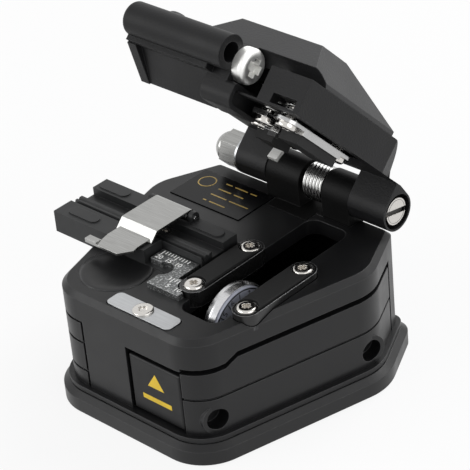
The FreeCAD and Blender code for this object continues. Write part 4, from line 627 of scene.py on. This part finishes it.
# ================================================================ small forms
def scoop_skin():
    """A soft dish in the finger scoop: its depth falls from the middle to a flat rim as (1 - r^2)^2."""
    rings, turns = 24, 72
    out = np.linspace(0, 1, rings + 1)[1:]
    angle = np.linspace(0, 2 * np.pi, turns, endpoint=False)
    grid = np.stack(np.meshgrid(out, angle, indexing="ij"), axis=-1).reshape(-1, 2)
    flat = SCOOP_RIM * grid[:, :1] * np.column_stack([np.cos(grid[:, 1]), np.sin(grid[:, 1])])
    dish = -SCOOP_DEPTH * (1 - grid[:, 0] ** 2) ** 2
    under = dish - SCOOP_SKIN * (1 - grid[:, 0] ** 2)
    middle = np.array([SCOOP_X, SCOOP_Y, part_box("main_housing")[1].z])
    top = np.column_stack([flat, dish])
    low = np.column_stack([flat, under])[:-turns]
    hubs = [[0, 0, -SCOOP_DEPTH], [0, 0, -SCOOP_DEPTH - SCOOP_SKIN]]
    points = np.concatenate([top, low, hubs]) + middle

    here = np.arange(turns)
    ahead = (here + 1) % turns
    first = np.arange(rings - 1)[:, None] * turns
    bands = np.stack([first + here, first + turns + here, first + turns + ahead, first + ahead], axis=-1)
    count = len(top)
    rim, last = count - turns, count + len(low) - turns
    closing = np.column_stack([last + ahead, rim + ahead, rim + here, last + here])
    below = bands[:-1, :, ::-1] + count
    quads = np.concatenate([bands.reshape(-1, 4), below.reshape(-1, 4), closing])
    top_hub, low_hub = np.full(turns, len(points) - 2), np.full(turns, len(points) - 1)
    fans = np.concatenate([np.column_stack([top_hub, here, ahead]),
                           np.column_stack([low_hub, count + ahead, count + here])])
    faces = quads.tolist() + fans.tolist()
    add_mesh("scoop_skin", [(points, faces)], "base", FINISHES["black_paint"])


def round_lugs():
    """The arm's frame with its two outer lugs upright in front, down to the round of the barrel."""
    turn = np.radians(np.linspace(*LUG_ROUND, 23))[::-1]
    barrel = LUG_FLANK * np.column_stack([np.cos(turn), np.sin(turn)])
    front = [(barrel[-1, 0], -LUG_DROP), (LUG_REACH, -LUG_DROP),
             (LUG_REACH, LUG_UNDER), (LUG_FLANK, LUG_UNDER)]
    outline = np.concatenate([barrel, front])
    cuts = [arm_prism(outline, x0, x1) for x0, x1 in LUG_CUTS]
    mesh = cut_mesh(node_shell("arm_frame"), cuts)
    stand_in("arm_frame_lugs", "arm_frame", mesh, FINISHES["cast_black"])


def slotted_bolt():
    """The hinge bolt's head with a wide slot that leans over, a dark sheet of painted shadow on the slot's floor
    and a line near the rim.
    """
    mesh = node_shell("hinge_bolt")
    turn = math.radians(SLOT_TURN)
    spin = np.array(Matrix.Rotation(turn, 3, "X"))
    points = (mesh_points(mesh) - HINGE) @ spin.T + HINGE
    set_points(mesh, points)
    lean = math.radians(SLOT_LEAN) + turn
    along = Vector((0, math.cos(lean), math.sin(lean)))
    across = X_AXIS.cross(along)
    face = HINGE + (points[:, 0].max(), 0, 0)
    floor_place = face - (SLOT_DEPTH, 0, 0)
    slot = bar(2 * (BOLT_HEAD_R + OVERSHOOT), SLOT_WIDTH, SLOT_DEPTH + OVERSHOOT)
    mesh = cut_mesh(mesh, [placed(slot, floor_place, along, across)])
    stand_in("hinge_bolt_slotted", "hinge_bolt", mesh, FINISHES["nickel_steel"])
    # a thin dark sheet on the slot's floor is painted shadow; the rim line uses the same dark metal
    floor = placed(bar(SLOT_FLOOR, SLOT_WIDTH), floor_place, along, across)
    rim = placed(ring(BOLT_RIM_R, 2 * INK), face, Y_AXIS, Z_AXIS)
    add_mesh("bolt_slot_shadow_and_rim_line", [floor, rim], "arm", SLOT_SHADOW_AND_RIM)


def low_screw():
    """The front plate's screw with its head pressed flat: heights above the plate keep only a share."""
    mesh = node_shell("insert_screw")
    points = mesh_points(mesh)
    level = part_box("insert_plate")[1].z
    points[:, 2] = np.minimum(points[:, 2], level + (points[:, 2] - level) * SCREW_FLAT)
    set_points(mesh, points)
    stand_in("insert_screw_low", "insert_screw", mesh, FINISHES["nickel_steel"])


def whole_cap():
    """The faceted cap as the hull of its corners, less the handle and a round room for the handle's screw."""
    mesh = node_shell("arm_cap")
    corners = mesh_points(mesh)
    hull = bmesh.new()
    hull_corners = [hull.verts.new(corner) for corner in corners]
    made = bmesh.ops.convex_hull(hull, input=hull_corners)
    inner = {item for item in made["geom_interior"] + made["geom_unused"] if item in hull_corners}
    bmesh.ops.delete(hull, geom=list(inner), context="VERTS")
    bmesh.ops.recalc_face_normals(hull, faces=hull.faces)
    hull.to_mesh(mesh)
    hull.free()
    turn = np.linspace(0, 2 * np.pi, 48, endpoint=False)
    circle = np.column_stack([SCREW_V + SCREW_ROOM * np.cos(turn), SCREW_W + SCREW_ROOM * np.sin(turn)])
    room = arm_prism(circle, SCREW_SEAT_X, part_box("arm_cap")[1].x + OVERSHOOT)
    handle = node_shell("handle")
    handle_part = mesh_points(handle), [list(face.vertices) for face in handle.polygons]
    stand_in("arm_cap_whole", "arm_cap", cut_mesh(mesh, [room, handle_part]), CAP_LIT_BLACK)


# ================================================================ stage
def camera_axes():
    """Right, up and back of the camera: azimuth and elevation first, then a roll about the view."""
    azimuth, elevation, roll = (math.radians(a) for a in (CAMERA_AZIMUTH, CAMERA_ELEVATION, CAMERA_ROLL))
    back = Vector((math.cos(elevation) * math.sin(azimuth), -math.cos(elevation) * math.cos(azimuth),
                   math.sin(elevation)))
    level = Vector((math.cos(azimuth), math.sin(azimuth), 0))
    upright = back.cross(level)
    right = level * math.cos(roll) + upright * math.sin(roll)
    return right, back.cross(right), back


def make_camera():
    data = bpy.data.cameras.new("camera")
    data.lens = CAMERA_LENS
    data.sensor_width = 36
    data.clip_end = 10
    camera = bpy.data.objects.new("camera", data)
    turn = Matrix(camera_axes()).transposed()
    camera.matrix_world = Matrix.Translation(CAMERA_PLACE) @ turn.to_4x4()
    SCENE.collection.objects.link(camera)
    SCENE.camera = camera


def seen_directly(tree):
    """1 for rays that show the backdrop: camera, glossy and transmission rays."""
    path = tree.nodes.new("ShaderNodeLightPath")
    seen = calculate(tree, "MAXIMUM", path.outputs["Is Camera Ray"], path.outputs["Is Transmission Ray"])
    return calculate(tree, "MAXIMUM", seen, path.outputs["Is Glossy Ray"])


def make_world():
    world = bpy.data.worlds.new("studio")
    world.use_nodes = True
    tree = world.node_tree
    lit = tree.nodes["Background"]
    lit.inputs["Color"].default_value = (0.95, 0.97, 1.0, 1)
    lit.inputs["Strength"].default_value = AMBIENT
    shown = tree.nodes.new("ShaderNodeBackground")
    shown.inputs["Color"].default_value = (1, 1, 1, 1)
    mix = tree.nodes.new("ShaderNodeMixShader")
    tree.links.new(seen_directly(tree), mix.inputs[0])
    tree.links.new(lit.outputs[0], mix.inputs[1])
    tree.links.new(shown.outputs[0], mix.inputs[2])
    tree.links.new(mix.outputs[0], tree.nodes["World Output"].inputs["Surface"])
    SCENE.world = world


def make_floor():
    """A pale floor that shows as near white and keeps a soft shadow."""
    material, tree, shader = new_material("pale_floor", Base_Color=(0.9, 0.9, 0.9, 1), Roughness=0.9)
    glow = add_node(tree, "ShaderNodeEmission", Strength=1.0)
    glow.inputs["Color"].default_value = (1, 1, 1, 1)
    share = calculate(tree, "MULTIPLY", seen_directly(tree), FLOOR_GLOW)
    mix = tree.nodes.new("ShaderNodeMixShader")
    tree.links.new(share, mix.inputs[0])
    tree.links.new(shader.outputs[0], mix.inputs[1])
    tree.links.new(glow.outputs[0], mix.inputs[2])
    tree.links.new(mix.outputs[0], tree.nodes["Material Output"].inputs["Surface"])
    mesh = bpy.data.meshes.new("floor")
    corners = [(x * FLOOR_HALF, y * FLOOR_HALF, 0) for x, y in ((-1, -1), (1, -1), (1, 1), (-1, 1))]
    mesh.from_pydata(corners, [], [[0, 1, 2, 3]])
    mesh.materials.append(material)
    floor = bpy.data.objects.new("floor", mesh)
    SCENE.collection.objects.link(floor)


def make_lights():
    """Soft boxes that face the object."""
    for name, place, (width, height), power in LAMPS:
        data = bpy.data.lights.new(name, "AREA")
        data.shape = "RECTANGLE"
        data.size, data.size_y, data.energy = width, height, power
        lamp = bpy.data.objects.new(name, data)
        lamp.location = place
        lamp.rotation_euler = (Vector(LIT_PLACE) - Vector(place)).to_track_quat("-Z", "Y").to_euler()
        SCENE.collection.objects.link(lamp)


dress_nodes()
dial_marks()
scale_marks()
push_marks()
label_marks()
scoop_skin()
round_lugs()
slotted_bolt()
low_screw()
whole_cap()
make_camera()
make_world()
make_floor()
make_lights()
SCENE.view_settings.view_transform = "Standard"
